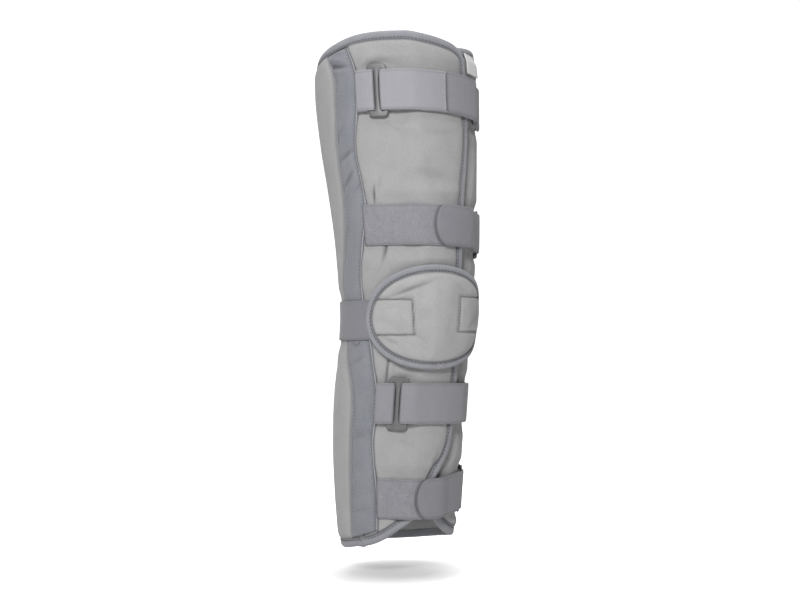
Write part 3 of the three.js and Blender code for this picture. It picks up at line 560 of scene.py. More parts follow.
# Painted shade in the groove by the binding, and a painted shadow along the front flap's free edge.
painted_shade = 0.95 * bell(rim_gap, RIM_GROOVE, 1.1) + 0.7 * bell(turn, flap_edge(height), 3)
under_flap = sandwich("under_flap_cloth", turn, height, inner, outer, [FOAM_CLOTH, LINING],
                      ["under_flap"], np.clip(painted_shade, 0, 1))

# ---------------------------------------------------------------- back panel
# The panel round the back of the leg, of the same foam laminate, sewn to both flaps under the
# stay tapes. Only the elastic knee band crosses it.

BACK_ROWS, BACK_COLUMNS = 190, 170
BACK_TOP_AT = [62, 90, 135, 180, 225, 265, 292]
BACK_TOP_UP = [0.988, 0.973, 0.945, 0.934, 0.945, 0.974, 0.989]
BACK_LOW_AT, BACK_LOW_UP = [62, 90, 145, 220, 270, 292], [0.021, 0.013, 0, 0, 0.002, 0.009]
u = grid_lines(BACK_COLUMNS, 0.3)[None, :]
v = grid_lines(BACK_ROWS, 0.4)[:, None]
height = np.zeros((BACK_ROWS, BACK_COLUMNS)) + v * HEIGHT * 0.97
for _ in range(4):
    left = 360 + left_seam(height) - degrees(0.5, height)
    turn = (RIGHT_SEAM + degrees(0.5, height)) * (1 - u) + left * u
    low = through(BACK_LOW_AT, BACK_LOW_UP, turn) * HEIGHT
    high = through(BACK_TOP_AT, BACK_TOP_UP, turn) * HEIGHT
    height = low + (high - low) * v
rim_gap = np.minimum(height - low, high - height)
tape_gap = np.minimum((turn - RIGHT_SEAM) / degrees(1.0, height) - RIGHT_TAPE_HALF,
                      (360 + tape_edge(TAPE_BACK, height) - turn) / degrees(1.0, height))
outer = foam_skin(turn, height, rim_gap, tape_gap)
outer += folded(turn, height, (
    ((250, 345), 85, 40, 10, 0.6), ((215, 262), 5, 30, 3, -0.8), ((150, 258), -8, 26, 3, -0.8),
    ((190, 180), 4, 34, 3.2, -0.8), ((235, 176), -6, 22, 3, -0.7), ((262, 120), 85, 30, 10, 0.5),
    ((180, 330), 88, 60, 16, 0.7), ((170, 110), 92, 50, 16, 0.6)))[0]
inner = foam_under(rim_gap)
# Painted shade in the grooves beside the bindings and the stay tapes.
painted_shade = 0.75 * bell(rim_gap, 8.2, 1.3) + 0.5 * bell(tape_gap, 0.6, 1.4)
back_panel = sandwich("back_panel_cloth", turn, height, inner, outer, [FOAM_CLOTH, LINING],
                      ["back_panel"], np.clip(painted_shade, 0, 1))

# ---------------------------------------------------------------- edge bindings
# A knitted tape folded over every raw edge of the panels and sewn through near its inner edge,
# so that it puckers a little between the stitches. The stitches are separate short threads.

BINDING = knit_material("edge_binding_knit", (0.27, 0.275, 0.30), (0.34, 0.345, 0.375),
                        0.85, 1300, 90, 0.0005, 0.25)
THREAD = knit_material("grey_thread", (0.11, 0.11, 0.125), (0.16, 0.16, 0.18),
                       0.7, 2500, 300, 0.0001, 0.2, False)
STITCH_PITCH, STITCH_LENGTH, STITCH_RADIUS = 3.4, 2.3, 0.45
FOLD = np.array([(8.0, 4.7), (8.05, 5.3), (7.4, 5.55), (6.3, 5.35), (5.0, 5.75), (3.4, 5.9),
                 (1.8, 5.65), (0.7, 5.0), (0.1, 3.9), (0.0, 2.8), (0.1, 1.7), (0.7, 0.7), (1.8, 0.15),
                 (3.4, 0.0), (6.0, 0.0), (7.8, 0.1),
                 (8.0, 0.9), (5.0, 1.05), (1.6, 1.3), (1.1, 2.8), (1.6, 4.4), (5.0, 4.6)])


def bind(name, node, turn, height, in_turn, in_height, walked, lift, closed=False, swell=None,
         wide=1.0):
    """A folded section carried along a rim: inset goes inwards across the panel, out away from it."""
    inset, out = FOLD[:, 0][None] * wide, FOLD[:, 1][None]
    pucker = 1 + 0.035 * np.sin(walked * 2 * np.pi / 3.1)[:, None] * (inset > 4)
    pucker = pucker + 0.02 * np.sin(walked / 9.0)[:, None]
    at_turn = turn[:, None] + in_turn[:, None] * inset
    at_height = height[:, None] + in_height[:, None] * inset
    middle = 2.8
    at_out = middle + (out - middle) * pucker + lift(at_turn)
    if swell is not None:
        skin_side = np.sign(out - middle) * (np.abs(out - middle) > 1.9)
        at_out = at_out + swell(at_turn, at_height) * skin_side
    points = on_leg(at_turn, at_height, at_out)
    rows, columns = points.shape[:2]
    faces = tube_faces(rows, columns)
    if closed:
        first, last = np.arange(columns), (rows - 1) * columns + np.arange(columns)
        faces[1:] = [np.stack([last, np.roll(last, -1), np.roll(first, -1), first], -1)]
    uv = np.stack(np.broadcast_arrays(walked[:, None] / 10, np.arange(1, columns + 1)[None] / 10), -1)
    # Painted shade in the groove along the sewn line, on the outer face.
    painted_shade = np.broadcast_to(0.55 * bell(FOLD[:, 0], 7.2, 1.0) * (FOLD[:, 1] > 4), (rows, columns))
    return make(name, points, faces, [BINDING], uv, nodes=[node], shade=painted_shade)


def stitches(name, start, end, out_way, radius, material=None):
    """Short threads from start to end points: a slim six-sided pod each, arched out of the cloth."""
    start, end, out_way = (np.asarray(a).reshape(-1, 3) for a in (start, end, out_way))
    along = end - start
    side = np.cross(out_way, along)
    side /= np.linalg.norm(side, axis=1)[:, None]
    share = np.array([0, 0.12, 0.5, 0.88, 1])
    arch = np.array([-0.5, 0.35, 0.8, 0.35, -0.5]) * radius
    thick = np.array([0.3, 0.85, 1, 0.85, 0.3]) * radius
    a = np.arange(6) * np.pi / 3
    centre = start[:, None] + along[:, None] * share[:, None] + out_way[:, None] * arch[:, None]
    sine, cosine = np.sin(a)[:, None], np.cos(a)[:, None]
    ring = out_way[:, None, None] * sine + side[:, None, None] * cosine
    points = centre[:, :, None] + ring * thick[None, :, None, None]
    one = grid_faces(5, 6, True)
    n = len(start)
    quads = (one[None] + 30 * np.arange(n)[:, None, None]).reshape(-1, 4)
    ends = np.stack([np.arange(6)[::-1], 24 + np.arange(6)])
    caps = (ends[None] + 30 * np.arange(n)[:, None, None]).reshape(-1, 6)
    return make(name, points, [quads, caps], [material or THREAD])


def line_along(turn, height, out):
    """Points along a line of turn, height and out, and the way out of the leg at each."""
    line = on_leg(turn, height, out)
    way = on_leg(turn, height, out + 1.0) - line
    return line, way / np.linalg.norm(way, axis=-1)[..., None]


def sew(name, turn, height, out, pitch=STITCH_PITCH, length=STITCH_LENGTH, radius=STITCH_RADIUS,
        material=None):
    """Threads laid along a line of turn, height and out, at a pitch, each of a length, in mm."""
    line, way = line_along(turn, height, out)
    walked = np.concatenate([[0], np.cumsum(np.linalg.norm(np.diff(line, axis=0), axis=1))]) * 1000
    starts = np.arange(pitch * 0.3, walked[-1] - length, pitch)
    at = lambda values, where: np.stack([np.interp(where, walked, values[:, k]) for k in range(3)], -1)
    return stitches(name, at(line, starts), at(line, starts + length), at(way, starts),
                    radius / 1000, material)


def clipped(rim, keep):
    return [values[keep] for values in rim]


flat_lift = lambda turn: 0 * turn
flap_rim = rim_curve(FLAP_TURN, FLAP_UP, 1, 1.6)
flap_rim = clipped(flap_rim, flap_rim[0] > left_seam(flap_rim[1]) - degrees(3.0, flap_rim[1]))
bind("front_flap_edge", "front_flap_binding", *flap_rim, lambda t: 0.25 + flap_lift(t),
     swell=lambda t, h: 0.7 * bell(t, -60, 5) * (h < 40))
under_rim = rim_curve(UNDER_TURN, UNDER_UP, -1, 1.6)
under_rim = clipped(under_rim, under_rim[0] < RIGHT_SEAM - degrees(0.5, under_rim[1]))
bind("under_flap_edge", "under_flap_binding", *under_rim, flat_lift)
for name, node, at, up, sign in (
        ("back_panel_top_edge", "back_top_binding", BACK_TOP_AT, BACK_TOP_UP, -1),
        ("back_panel_bottom_edge", "back_bottom_binding", BACK_LOW_AT, BACK_LOW_UP, 1)):
    t = np.linspace(RIGHT_SEAM + 0.5, 360 + left_seam(HEIGHT * up[-1]) - 0.5, 240)
    h = through(at, up, t) * HEIGHT
    walked = np.concatenate([[0], np.cumsum(np.hypot(np.diff(t) / degrees(1.0, h[1:]), np.diff(h)))])
    bind(name, node, t, h, 0 * t, 0 * t + sign, walked, flat_lift)
    sew(name + "_threads", t, h + sign * 6.4, 5.5 + 0 * t)
for name, rim, lift in (("front_flap_edge_threads", flap_rim, flap_lift),
                        ("under_flap_edge_threads", under_rim, flat_lift)):
    t, h = rim[0] + rim[2] * 6.4, rim[1] + rim[3] * 6.4
    sew(name, t, h, 5.5 + lift(t))

# ---------------------------------------------------------------- stay tapes
# Woven tape over each side seam, sewn down both edges to make the pocket of a side stay. It
# rides up over the stay in the middle. A thin piping lies along the left tape's front edge.

def ribbed_material(name, low, high, roughness, rib, pile, depth, cloud=160, waver=0.6,
                    relief=(0.3, 0.0002)):
    """Woven tape or webbing: the knit's nap, with ribs from the UV map over it."""
    material = knit_material(name, low, high, roughness, pile, cloud, depth, 0.2)
    tree = material.node_tree
    uv = wire(tree, "ShaderNodeUVMap", {"uv_map": "lay"})
    ribs = wire(tree, "ShaderNodeTexWave", {"Scale": rib, "Distortion": waver, "Detail": 1.0,
                                            "bands_direction": "X"}, Vector=uv.outputs["UV"])
    shader = tree.nodes["Principled BSDF"]
    under = shader.inputs["Normal"].links[0].from_node
    bump = wire(tree, "ShaderNodeBump", {"Strength": relief[0], "Distance": relief[1]},
                Height=ribs.outputs["Fac"], Normal=under.outputs["Normal"])
    tree.links.new(bump.outputs["Normal"], shader.inputs["Normal"])
    return material


TAPE_CLOTH = ribbed_material("stay_tape_weave", (0.20, 0.21, 0.238), (0.305, 0.31, 0.338),
                             0.8, 3.2, 1200, 0.0003, 45, 0.4, (0.35, 0.00025))
PIPING = knit_material("piping_knit", (0.36, 0.365, 0.39), (0.43, 0.435, 0.46),
                       0.8, 1500, 200, 0.0002, 0.3, False)


def strip(name, node, edges, low, high, folds, rows=320, columns=34):
    """Tape between two edges: its top rises over the stay in the middle and is sewn flat at both
    sides; top and underside make one closed band."""
    v = np.linspace(0, 1, rows)[:, None]
    w = np.sin(np.linspace(-np.pi / 2, np.pi / 2, columns))[None]
    height = low(w) * (1 - v) + high(w) * v
    back, front = edges(height)
    turn = (back + front) / 2 + w * (front - back) / 2
    crown = 1.3 * (1 - ease(np.abs(w), 0.45, 0.8)) + 0 * height
    out = 6.1 - 0.5 * np.abs(w) ** 10 + crown - 0.35 * bell(np.abs(w), 0.86, 0.06)
    out = out + 0.2 * np.sin(height / 17) * np.cos(height / 41 + w)
    squash = 1 - ease(np.abs(height - KNEE) - 16, 0, 9)
    out = out - squash * np.clip(out - 5.9, 0, 9)
    dents, crease_shade = folded(turn, height, folds, shade=0.42, past=0.3, most=2)
    out = np.maximum(out + dents, 5.2)
    under = np.full(out.shape, 4.85)
    sides = np.s_[:, 1:-1]
    ring = np.concatenate([on_leg(turn, height, out), on_leg(turn, height, under)[sides][:, ::-1]], 1)
    uv = np.concatenate([np.stack([w + 0 * height, height / 12.5], -1)] * 2, 1) * 1.25
    uv = uv[:, :ring.shape[1]]
    # Painted shade along both sewn edges, darkest at the front edge, and in the creases.
    painted_shade = 0.35 * bell(np.abs(w), 0.88, 0.05) + 0.8 * ease(w, 0.93, 0.99) + 0 * height
    painted_shade = np.clip(painted_shade + crease_shade, 0, 1)
    painted_shade = np.concatenate([painted_shade, painted_shade[sides]], 1)
    faces = tube_faces(*ring.shape[:2])
    return make(name, ring, faces, [TAPE_CLOTH], uv, nodes=[node], shade=painted_shade)


left_edges = lambda h: (tape_edge(TAPE_BACK, h), tape_edge(TAPE_FRONT, h))
right_edges = lambda h: [RIGHT_SEAM + degrees(side, h) for side in (-RIGHT_TAPE_HALF, RIGHT_TAPE_HALF)]
strip("left_stay_tape_cloth", "left_stay_tape", left_edges, lambda w: 17 + 4 * w,
      lambda w: 470.4 + 2.6 * w,
      (((-72, 457.5), -6, 14, 1.7, -3.0), ((-70, 463.5), -8, 15, 2.8, 1.6),
       ((-70, 452), -4, 15, 2.4, 0.9), ((-60, 462), -30, 9, 2.0, -0.6),
       ((-68, 373), 30, 11, 2.4, -1.5), ((-66, 366), 30, 12, 2.2, 0.9),
       ((-69, 351), 48, 11, 2.4, -1.6), ((-69, 343), 48, 12, 2.2, 0.9), ((-60, 345), 60, 10, 2.0, -0.9),
       ((-72, 392), 50, 14, 2.8, -1.1), ((-66, 398), 55, 13, 2.6, 0.8), ((-78, 300), 70, 16, 2.4, -0.8),
       ((-66, 182), 30, 10, 2.2, -0.9), ((-62, 176), 30, 10, 2.6, 0.7),
       ((-58, 118), 20, 14, 3.0, 0.7), ((-60, 110), 18, 14, 3.0, -0.7),
       ((-62, 66), -15, 12, 3.0, 0.6), ((-60, 40), 10, 12, 3.0, -0.7)))
strip("right_stay_tape_cloth", "right_stay_tape", right_edges, lambda w: 16 - w,
      lambda w: 462.2 - 2.9 * w,
      (((96, 350), 35, 12, 2.2, -0.7), ((96, 120), 25, 12, 2.4, 0.5)))


def cord_along(name, turn, height, out, radius, material, sides=10):
    """A round cord along a line: a circle in the plane across the line at each point."""
    line, way = line_along(turn, height, out)
    side = np.cross(way, np.gradient(line, axis=0))
    side /= np.linalg.norm(side, axis=1)[:, None]
    a = np.linspace(0, 2 * np.pi, sides, endpoint=False)[None, :, None]
    ring = line[:, None] + radius / 1000 * (way[:, None] * np.sin(a) + side[:, None] * np.cos(a))
    return make(name, ring, tube_faces(len(line), sides), [material])


h = np.linspace(22, 472, 420)
cord_along("left_stay_piping", tape_edge(TAPE_FRONT, h) + degrees(0.9, h), h, 6.0 + 0 * h, 0.62,
           PIPING)
for name, edges, pick, low, high in (("left_tape_back_threads", left_edges, 0, 14, 467),
                                     ("left_tape_front_threads", left_edges, 1, 22, 472),
                                     ("right_tape_front_threads", right_edges, 0, 18, 463),
                                     ("right_tape_back_threads", right_edges, 1, 16, 458)):
    h = np.linspace(low, high, 700)
    h = h[np.abs(h - KNEE) > 19]
    t = edges(h)[pick] + (1 - 2 * pick) * degrees(1.8, h)
    parts = np.split(np.arange(len(h)), np.flatnonzero(np.diff(h) > 5) + 1)
    for k, part in enumerate(parts):
        sew(f"{name}_{k}", t[part], h[part], 5.75 + 0 * h[part], radius=0.36,
            material=BINDING)

# ---------------------------------------------------------------- straps, tabs and slides
# Four 38 mm webbing straps. Two are sewn at the right seam, run through a slide on the left and
# fold back to the right; two are sewn at the left, run to a slide on the right and fold back to
# a rounded end. A short tab holds each slide. The faces are loop pile or smooth hook webbing.

STRAP_THICK, STRAP_WIDTH = 1.5, 38
LOW, BAR = 7.2, 8.45
HIGH, LAID = BAR + 2.1 + 0.1 + 0.75, 7.2 + 1.5 + 0.3


# A darker copy of the smooth webbing: painted shade on the upper calf strap, where the light falls off
# lower down; on the upper thigh strap's hook patch, partly its own darker tone and partly painted shade.
DARK_AND_SHADED_WEB = ribbed_material("smooth_webbing_dark_and_shaded", (0.275, 0.27, 0.295), (0.315, 0.31, 0.335),
                           0.6, 5.0, 1500, 0.00015)
SMOOTH_WEB = ribbed_material("smooth_webbing", (0.335, 0.33, 0.36), (0.375, 0.37, 0.40),
                             0.6, 5.0, 1500, 0.00015)
LOOP_WEB = ribbed_material("loop_pile_webbing", (0.22, 0.22, 0.24), (0.345, 0.34, 0.37),
                           0.95, 3.0, 950, 0.0009)
HOOK_WEB = ribbed_material("hook_webbing", (0.235, 0.23, 0.255), (0.285, 0.28, 0.305),
                           0.7, 4.0, 1500, 0.00018)


def over_flap(turn, edge):
    """Lift of what lies over both flaps: up over the hidden edge, down past the free edge."""
    return 6 * ease(turn, -31, -12) * (1 - ease(turn, edge + 2, edge + 19))


def soften(path, times):
    """Corners cut off a path, a quarter at a time, its ends kept."""
    for _ in range(times):
        near, far = path[:-1], path[1:]
        cut = np.stack([0.75 * near + 0.25 * far, 0.25 * near + 0.75 * far], 1).reshape(-1, 2)
        path = np.concatenate([path[:1], cut, path[-1:]])
    return path


def ribbon(name, node, path, width, middle, lift, materials, mm, tip=0.0,
           thick=STRAP_THICK, wobble=0.25, seed=0.0, across=17):
    """Webbing along a path of (turn, out): a flat closed section with soft edges is carried along
    it, square to the path; tip rounds the far end over that many mm. Painted shade darkens its
    edges, where it is caught at its start and where it turns steeply into a slot, and a painted
    shadow lies on the layer below beside a rounded end on top."""
    x = path[:, 0] * mm
    walked = np.concatenate([[0], np.cumsum(np.hypot(np.diff(x), np.diff(path[:, 1])))])
    even = np.linspace(0, walked[-1], max(24, int(walked[-1] / 1.3)))
    turn, out = np.interp(even, walked, path[:, 0]), np.interp(even, walked, path[:, 1])
    dx, dy = np.gradient(turn * mm), np.gradient(out)
    size = np.hypot(dx, dy)
    nx, ny = -dy / size, dx / size
    w = np.sin(np.linspace(-np.pi / 2, np.pi / 2, across))
    w = np.concatenate([w, w[1:-1][::-1]])
    face = np.concatenate([np.ones(across), -np.ones(across - 2)])
    off = face * thick / 2 * np.sqrt(np.clip(1 - np.abs(w) ** 16, 0, 1))
    narrow = np.ones(len(even))
    if tip:
        t = np.clip((even - (even[-1] - tip)) / tip, 0, 1)
        narrow = np.sqrt(np.clip(1 - t ** 2.3, 0.0016, 1))
    edge_wave = wobble * np.sin(even / 23 + seed) + wobble * 0.6 * np.sin(even / 9 + 2 * seed)
    at_turn = turn[:, None] + nx[:, None] * off[None] / mm
    at_height = middle(turn)[:, None] + edge_wave[:, None] + w[None] * width / 2 * narrow[:, None]
    curl = 0.25 * np.sin(even / 31 + seed)[:, None] * w[None] ** 2
    at_out = (out + lift(turn))[:, None] + ny[:, None] * off[None] + np.abs(curl)
    points = on_leg(at_turn, at_height, at_out)
    rows, columns = points.shape[:2]
    uv = np.stack(np.broadcast_arrays(even[:, None] / 10, w[None] * width / 20), -1)
    side = np.where(np.arange(columns) < across - 1, 0, 1)
    which = np.concatenate([np.tile(side, rows - 1), [0, 0]]) % len(materials)
    # Painted shade along both edges, where the strap is caught at its start, and in the slot.
    painted_shade = np.broadcast_to(0.3 * bell(np.abs(w), 0.93, 0.03), (rows, columns))
    steep = np.abs(dy) / np.maximum(size, 1e-9)
    painted_shade = painted_shade + 0.8 * (bell(even, 0, 1.1) + ease(steep, 0.55, 0.9))[:, None]
    # Painted shadow of the rounded end on the loop face beneath it.
    if tip:
        rounded = turn[-1] * mm + tip * (1 - np.clip(1 - w ** 2, 0, 1) ** (1 / 2.3))
        below = (out[:, None] < LOW + 0.6) * (turn[:, None] < turn[-1] + 20)
        painted_shade = painted_shade + 0.9 * below * bell(turn[:, None] * mm, rounded[None] - 0.9, 1.3)
    return make(name, points, tube_faces(rows, columns), materials, uv, which,
                [node] if node else (), np.clip(painted_shade, 0, 1))


def slide_path(start, slide, side, end, mm, raised=0.0):
    """From the seam, low, up through the slot, back over the bar and down to lie to the end."""
    at = lambda far: slide + side * far / mm
    points = [(t, LOW) for t in np.linspace(start, at(6.6), 14)]
    points += [(at(3.5), LOW + 0.5), (at(3.1), (LOW + HIGH) / 2), (at(3.2), HIGH - 0.5), (at(4.2), HIGH)]
    share = np.linspace(0, 1, 30)
    run = share * (end - at(8))
    lain = LAID + (HIGH - LAID) * (1 - ease(np.abs(run * mm), 0, 20)) + raised * share**6
    return soften(np.concatenate([points, np.stack([at(8) + run, lain], -1)]), 3)


PLASTIC = bpy.data.materials.new("slide_nylon")
PLASTIC.use_nodes = True
tree = PLASTIC.node_tree
shader = tree.nodes["Principled BSDF"]
shader.inputs["Roughness"].default_value = 0.42
grain = wire(tree, "ShaderNodeGroup", {"node_tree": NAP})
grain.inputs["Fibre Scale"].default_value = 2400
grain.inputs["Cloud Scale"].default_value = 130
tone(tree, shader, (0.13, 0.13, 0.133), (0.18, 0.18, 0.183), grain.outputs["Clouds"])
bump = wire(tree, "ShaderNodeBump", {"Strength": 0.15, "Distance": 0.0001},
            Height=grain.outputs["Fibres"])
tree.links.new(bump.outputs["Normal"], shader.inputs["Normal"])


def slide_frame(name, node, turn, middle, lift, mm, tall=24.9):
    """A moulded slide: a cage of knots with two slots, rounded by subdivision."""
    s = np.array([-9.9, -6.1, -2.0, 2.0, 6.1, 9.9])
    h = np.array([-tall, 1.9 - tall, -19.4, 0, 19.4, tall - 1.9, tall])
    wide = np.array([0.62, 0.95, 1, 1, 1, 0.95, 0.62])
    at_turn = turn + s[None] * wide[:, None] / mm
    at_height = middle + h[:, None] + 0 * at_turn
    n = at_turn.size
    skin = grid_faces(7, 6)
    slots = [row * 5 + column for row in (2, 3) for column in (1, 3)]
    skin = np.delete(skin, slots, 0)
    ways = np.concatenate([skin[:, [k, (k + 1) % 4]] for k in range(4)])
    codes, back = ways[:, 0] * n + ways[:, 1], ways[:, 1] * n + ways[:, 0]
    open_ways = ways[~np.isin(codes, back)]
    rim = np.stack([open_ways[:, 1], open_ways[:, 0], open_ways[:, 0] + n, open_ways[:, 1] + n], -1)
    base = BAR + lift(at_turn)
    points = np.concatenate([
        on_leg(at_turn, at_height, base + out).reshape(-1, 3) for out in (2.1, -0.3)])
    faces = np.concatenate([skin, skin[:, ::-1] + n, rim])
    obj = make(name, points, faces, [PLASTIC], nodes=[node])
    round_off = obj.modifiers.new("moulded_edges", "SUBSURF")
    round_off.levels = round_off.render_levels = 3
    return obj


STRAPS = (
    # name, slide turn, end turn, sewn at the right (1) or left (-1), faces (out, in), tab's face
    ("upper_thigh", -37.0, 74.0, 1, [SMOOTH_WEB, SMOOTH_WEB], SMOOTH_WEB),
    ("lower_thigh", 74.0, -3.0, -1, [LOOP_WEB, HOOK_WEB], HOOK_WEB),
    ("upper_calf", -27.0, 72.0, 1, [DARK_AND_SHADED_WEB, DARK_AND_SHADED_WEB], DARK_AND_SHADED_WEB),
    ("lower_calf", 74.0, -8.5, -1, [LOOP_WEB, HOOK_WEB], HOOK_WEB),
)
for number, (name, slide, end, sewn, faces, tab_face) in enumerate(STRAPS):
    level = STRAP_AT[name]
    mm = 1 / (degrees(1.0, level) * 0.94)
    edge = max(flap_edge(level - 19), flap_edge(level + 19))
    from_right = sewn > 0
    sunk = 0.0 if from_right else 1.1
    lift = lambda t, edge=edge, sunk=sunk: over_flap(t, edge) - sunk * ease(t, 48, 60)
    middle = lambda t, name=name: strap_height(name, t)
    right = RIGHT_SEAM - degrees(RIGHT_TAPE_HALF, level) - 0.6 / mm
    left = tape_edge(TAPE_FRONT, level) + 1.2 / mm
    start, other = (right, left) if from_right else (left, right)
    path = slide_path(start, slide, sewn, end, mm, 0.5 if from_right else 1.3)
    ribbon(name + "_strap_webbing", name + "_strap", path, STRAP_WIDTH, middle, lift, faces,
           mm, tip=0 if from_right else 11, seed=1.3 * number)
    path = slide_path(other, slide, -sewn, slide - sewn * 20.0 / mm, mm)
    ribbon(name + "_tab_webbing", name + "_tab", path, STRAP_WIDTH, middle, lift, [tab_face],
           mm, wobble=0.1, seed=number)
    slide_frame(name + "_slide_nylon", name + "_slide", slide, float(middle(np.array(slide))), lift,
                mm, 24.9 if from_right else 23.4)

# The hook end sewn on the upper thigh strap: a light line of stitches in a groove, beside it a close
# row of dark threads as painted shade in that groove, then its patch.
level = STRAP_AT["upper_thigh"]
edge = max(flap_edge(level - 19), flap_edge(level + 19))
h = np.linspace(412, 449, 120)
t = 7.0 + 0.25 * np.sin(h)
LIGHT_THREAD = knit_material("light_thread", (0.5, 0.5, 0.51), (0.6, 0.6, 0.61),
                             0.7, 2500, 300, 0.0001, 0.2, False)
sew("upper_thigh_strap_threads", t, h, LAID + 1.05 + over_flap(t, edge), 3.0, 2.0, 0.42,
    LIGHT_THREAD)
# Dark threads set almost end to end: painted shade in the groove.
sew("upper_thigh_strap_groove_painted_shade", t + 1.0, h, LAID + 0.9 + over_flap(t, edge), 3.0, 2.9, 0.4)
t = np.linspace(8.6, 73, 60)
ribbon("upper_thigh_strap_end", "", np.stack([t, LAID + 1.0 + 0.4 * ease(t, 60, 73)], -1), 37.6,
       lambda t: strap_height("upper_thigh", t), lambda t: over_flap(t, edge), [DARK_AND_SHADED_WEB],
       1 / (degrees(1.0, level) * 0.94), thick=0.6)

# ---------------------------------------------------------------- knee band
# A wide ribbed elastic band round the back of the knee. Both ends run under the knee pad.

KNEE_BAND_WIDTH = 37
ELASTIC = ribbed_material("elastic_webbing", (0.225, 0.22, 0.245), (0.275, 0.27, 0.30),
                          0.75, 2.2, 1500, 0.0002)
t = np.linspace(28, 334, 160)
ribbon("knee_band_elastic", "knee_strap", np.stack([t, LOW + 0 * t], -1), KNEE_BAND_WIDTH,
       lambda t: KNEE + 0 * t, flat_lift, [ELASTIC], 1 / degrees(1.0, KNEE), wobble=0.3)

# ---------------------------------------------------------------- knee pad
# A round cushion over the kneecap: soft foam between two skins of the same brushed knit, bound
# round its edge and caught down to the knee band by a stitched box on each side.

PAD_TURN, PAD_HALF_TURN, PAD_HALF_WIDTH = -3.5, 54.5, 57.5
PAD_ROWS, PAD_COLUMNS = 72, 84
SHELL_INSET = 1.3
BOX_SLANT = 0.09
PAD_BOXES = ((-64.0, -20.0, 205.0, 237.0), (14.5, 58.0, 208.0, 240.0))


def pad_lift(turn):
    """How far the pad stands off the leg: over the knee band's ends, and over both flaps."""
    edge = flap_edge(PAD_HEIGHT)
    return 8.25 + 6 * ease(turn, -31, -12) * (1 - 0.75 * ease(turn, edge + 2, edge + 34))


def pad_point(angle, inset):
    """A turn and height on the pad: an oval drawn in by an inset."""
    wide = PAD_HALF_TURN - degrees(inset, PAD_HEIGHT) * 0.9
    return PAD_TURN + wide * np.cos(angle), PAD_HEIGHT + (PAD_HALF_HEIGHT - inset) * np.sin(angle)


def box_gap(turn, height):
    """Signed distance in mm to the nearer stitched box, below 0 inside it."""
    mm = 1 / degrees(1.0, height)
    slant = (PAD_HEIGHT - height) * BOX_SLANT
    return np.minimum.reduce([
        np.maximum(np.maximum(a - turn, turn - slant - b) * mm, np.maximum(c - height, height - d))
        for a, b, c, d in PAD_BOXES])


def blown(points, faces, held, pressure, cap):
    """Cloth under air: the shell is blown up for 20 frames with its sewn points held. The foam below
    evens out the small wrinkles: each step is averaged with its four neighbours, four times over,
    and no point goes further than the cap, in metres."""
    mesh = bpy.data.meshes.new("cushion_shell")
    mesh.from_pydata(points.tolist(), [], faces.tolist())
    shell = bpy.data.objects.new("cushion_shell", mesh)
    bpy.context.collection.objects.link(shell)
    shell.vertex_groups.new(name="sewn").add(np.flatnonzero(held).tolist(), 1.0, "REPLACE")
    cloth = shell.modifiers.new("air", "CLOTH")
    knit = cloth.settings
    knit.vertex_group_mass = "sewn"
    knit.use_pressure = True
    knit.uniform_pressure_force = pressure
    knit.effector_weights.gravity = 0
    knit.quality = 6
    knit.shrink_min = -0.02
    knit.bending_stiffness = 3.0
    for frame_number in range(1, 21):
        bpy.context.scene.frame_set(frame_number)
    done = shell.evaluated_get(bpy.context.evaluated_depsgraph_get())
    moved = np.empty(len(points) * 3)
    done.data.vertices.foreach_get("co", moved)
    bpy.context.scene.frame_set(1)
    bpy.data.objects.remove(shell)
    step = (moved.reshape(-1, 3) - points).reshape(2, PAD_ROWS, PAD_COLUMNS, 3)
    for _ in range(4):
        near = np.pad(step, ((0, 0), (1, 1), (1, 1), (0, 0)), mode="edge")
        beside = near[:, :-2, 1:-1] + near[:, 2:, 1:-1] + near[:, 1:-1, :-2] + near[:, 1:-1, 2:]
        step = (beside + 2 * step) / 6
    step = step.reshape(-1, 3)
    size = np.linalg.norm(step, axis=1, keepdims=True)
    return points + step * np.minimum(1, cap / np.maximum(size, 1e-9))


# A square grid is pulled out to a disc, so that the cushion has no pole in its middle.
u, v = np.meshgrid(np.linspace(-1, 1, PAD_COLUMNS), np.linspace(-1, 1, PAD_ROWS))
disc_x, disc_y = u * np.sqrt(1 - v * v / 2), v * np.sqrt(1 - u * u / 2)
from_middle = np.hypot(disc_x, disc_y)
way = np.arctan2(disc_y, disc_x)
shell_half = PAD_HALF_HEIGHT - SHELL_INSET
reach = np.hypot(PAD_HALF_WIDTH * np.cos(way), shell_half * np.sin(way))
inset = SHELL_INSET + (1 - from_middle) * reach
turn = PAD_TURN + (PAD_HALF_TURN - degrees(SHELL_INSET, PAD_HEIGHT) * 0.9) * disc_x
height = PAD_HEIGHT + shell_half * disc_y
puff = 4.2 + 4.1 * roll(inset, 5.6, 11) + 2.0 * ease(inset, 11, 40)
puff = puff - 1.0 * ease(-box_gap(turn, height), 0, 4) * ease(inset, 9, 12)
top = on_leg(turn, height, puff + pad_lift(turn)).reshape(-1, 3)
low = on_leg(turn, height, foam_under(inset) + pad_lift(turn)).reshape(-1, 3)
out_way = on_leg(turn, height, puff + pad_lift(turn) + 1.0).reshape(-1, 3) - top
n = len(top)
faces, _ = shell_faces(PAD_ROWS, PAD_COLUMNS)
shell = np.concatenate([top, low])
sewn = np.ravel((inset < 8.5) | (np.abs(box_gap(turn, height)) < 1.0))
shell = blown(shell, faces, np.concatenate([sewn, np.ones(n, bool)]), 4.0, 0.003)
from_box = box_gap(turn, height)
groove = 2.2 * bell(from_box, 0.3, 1.5) * ease(inset, 6.6, 8.6)
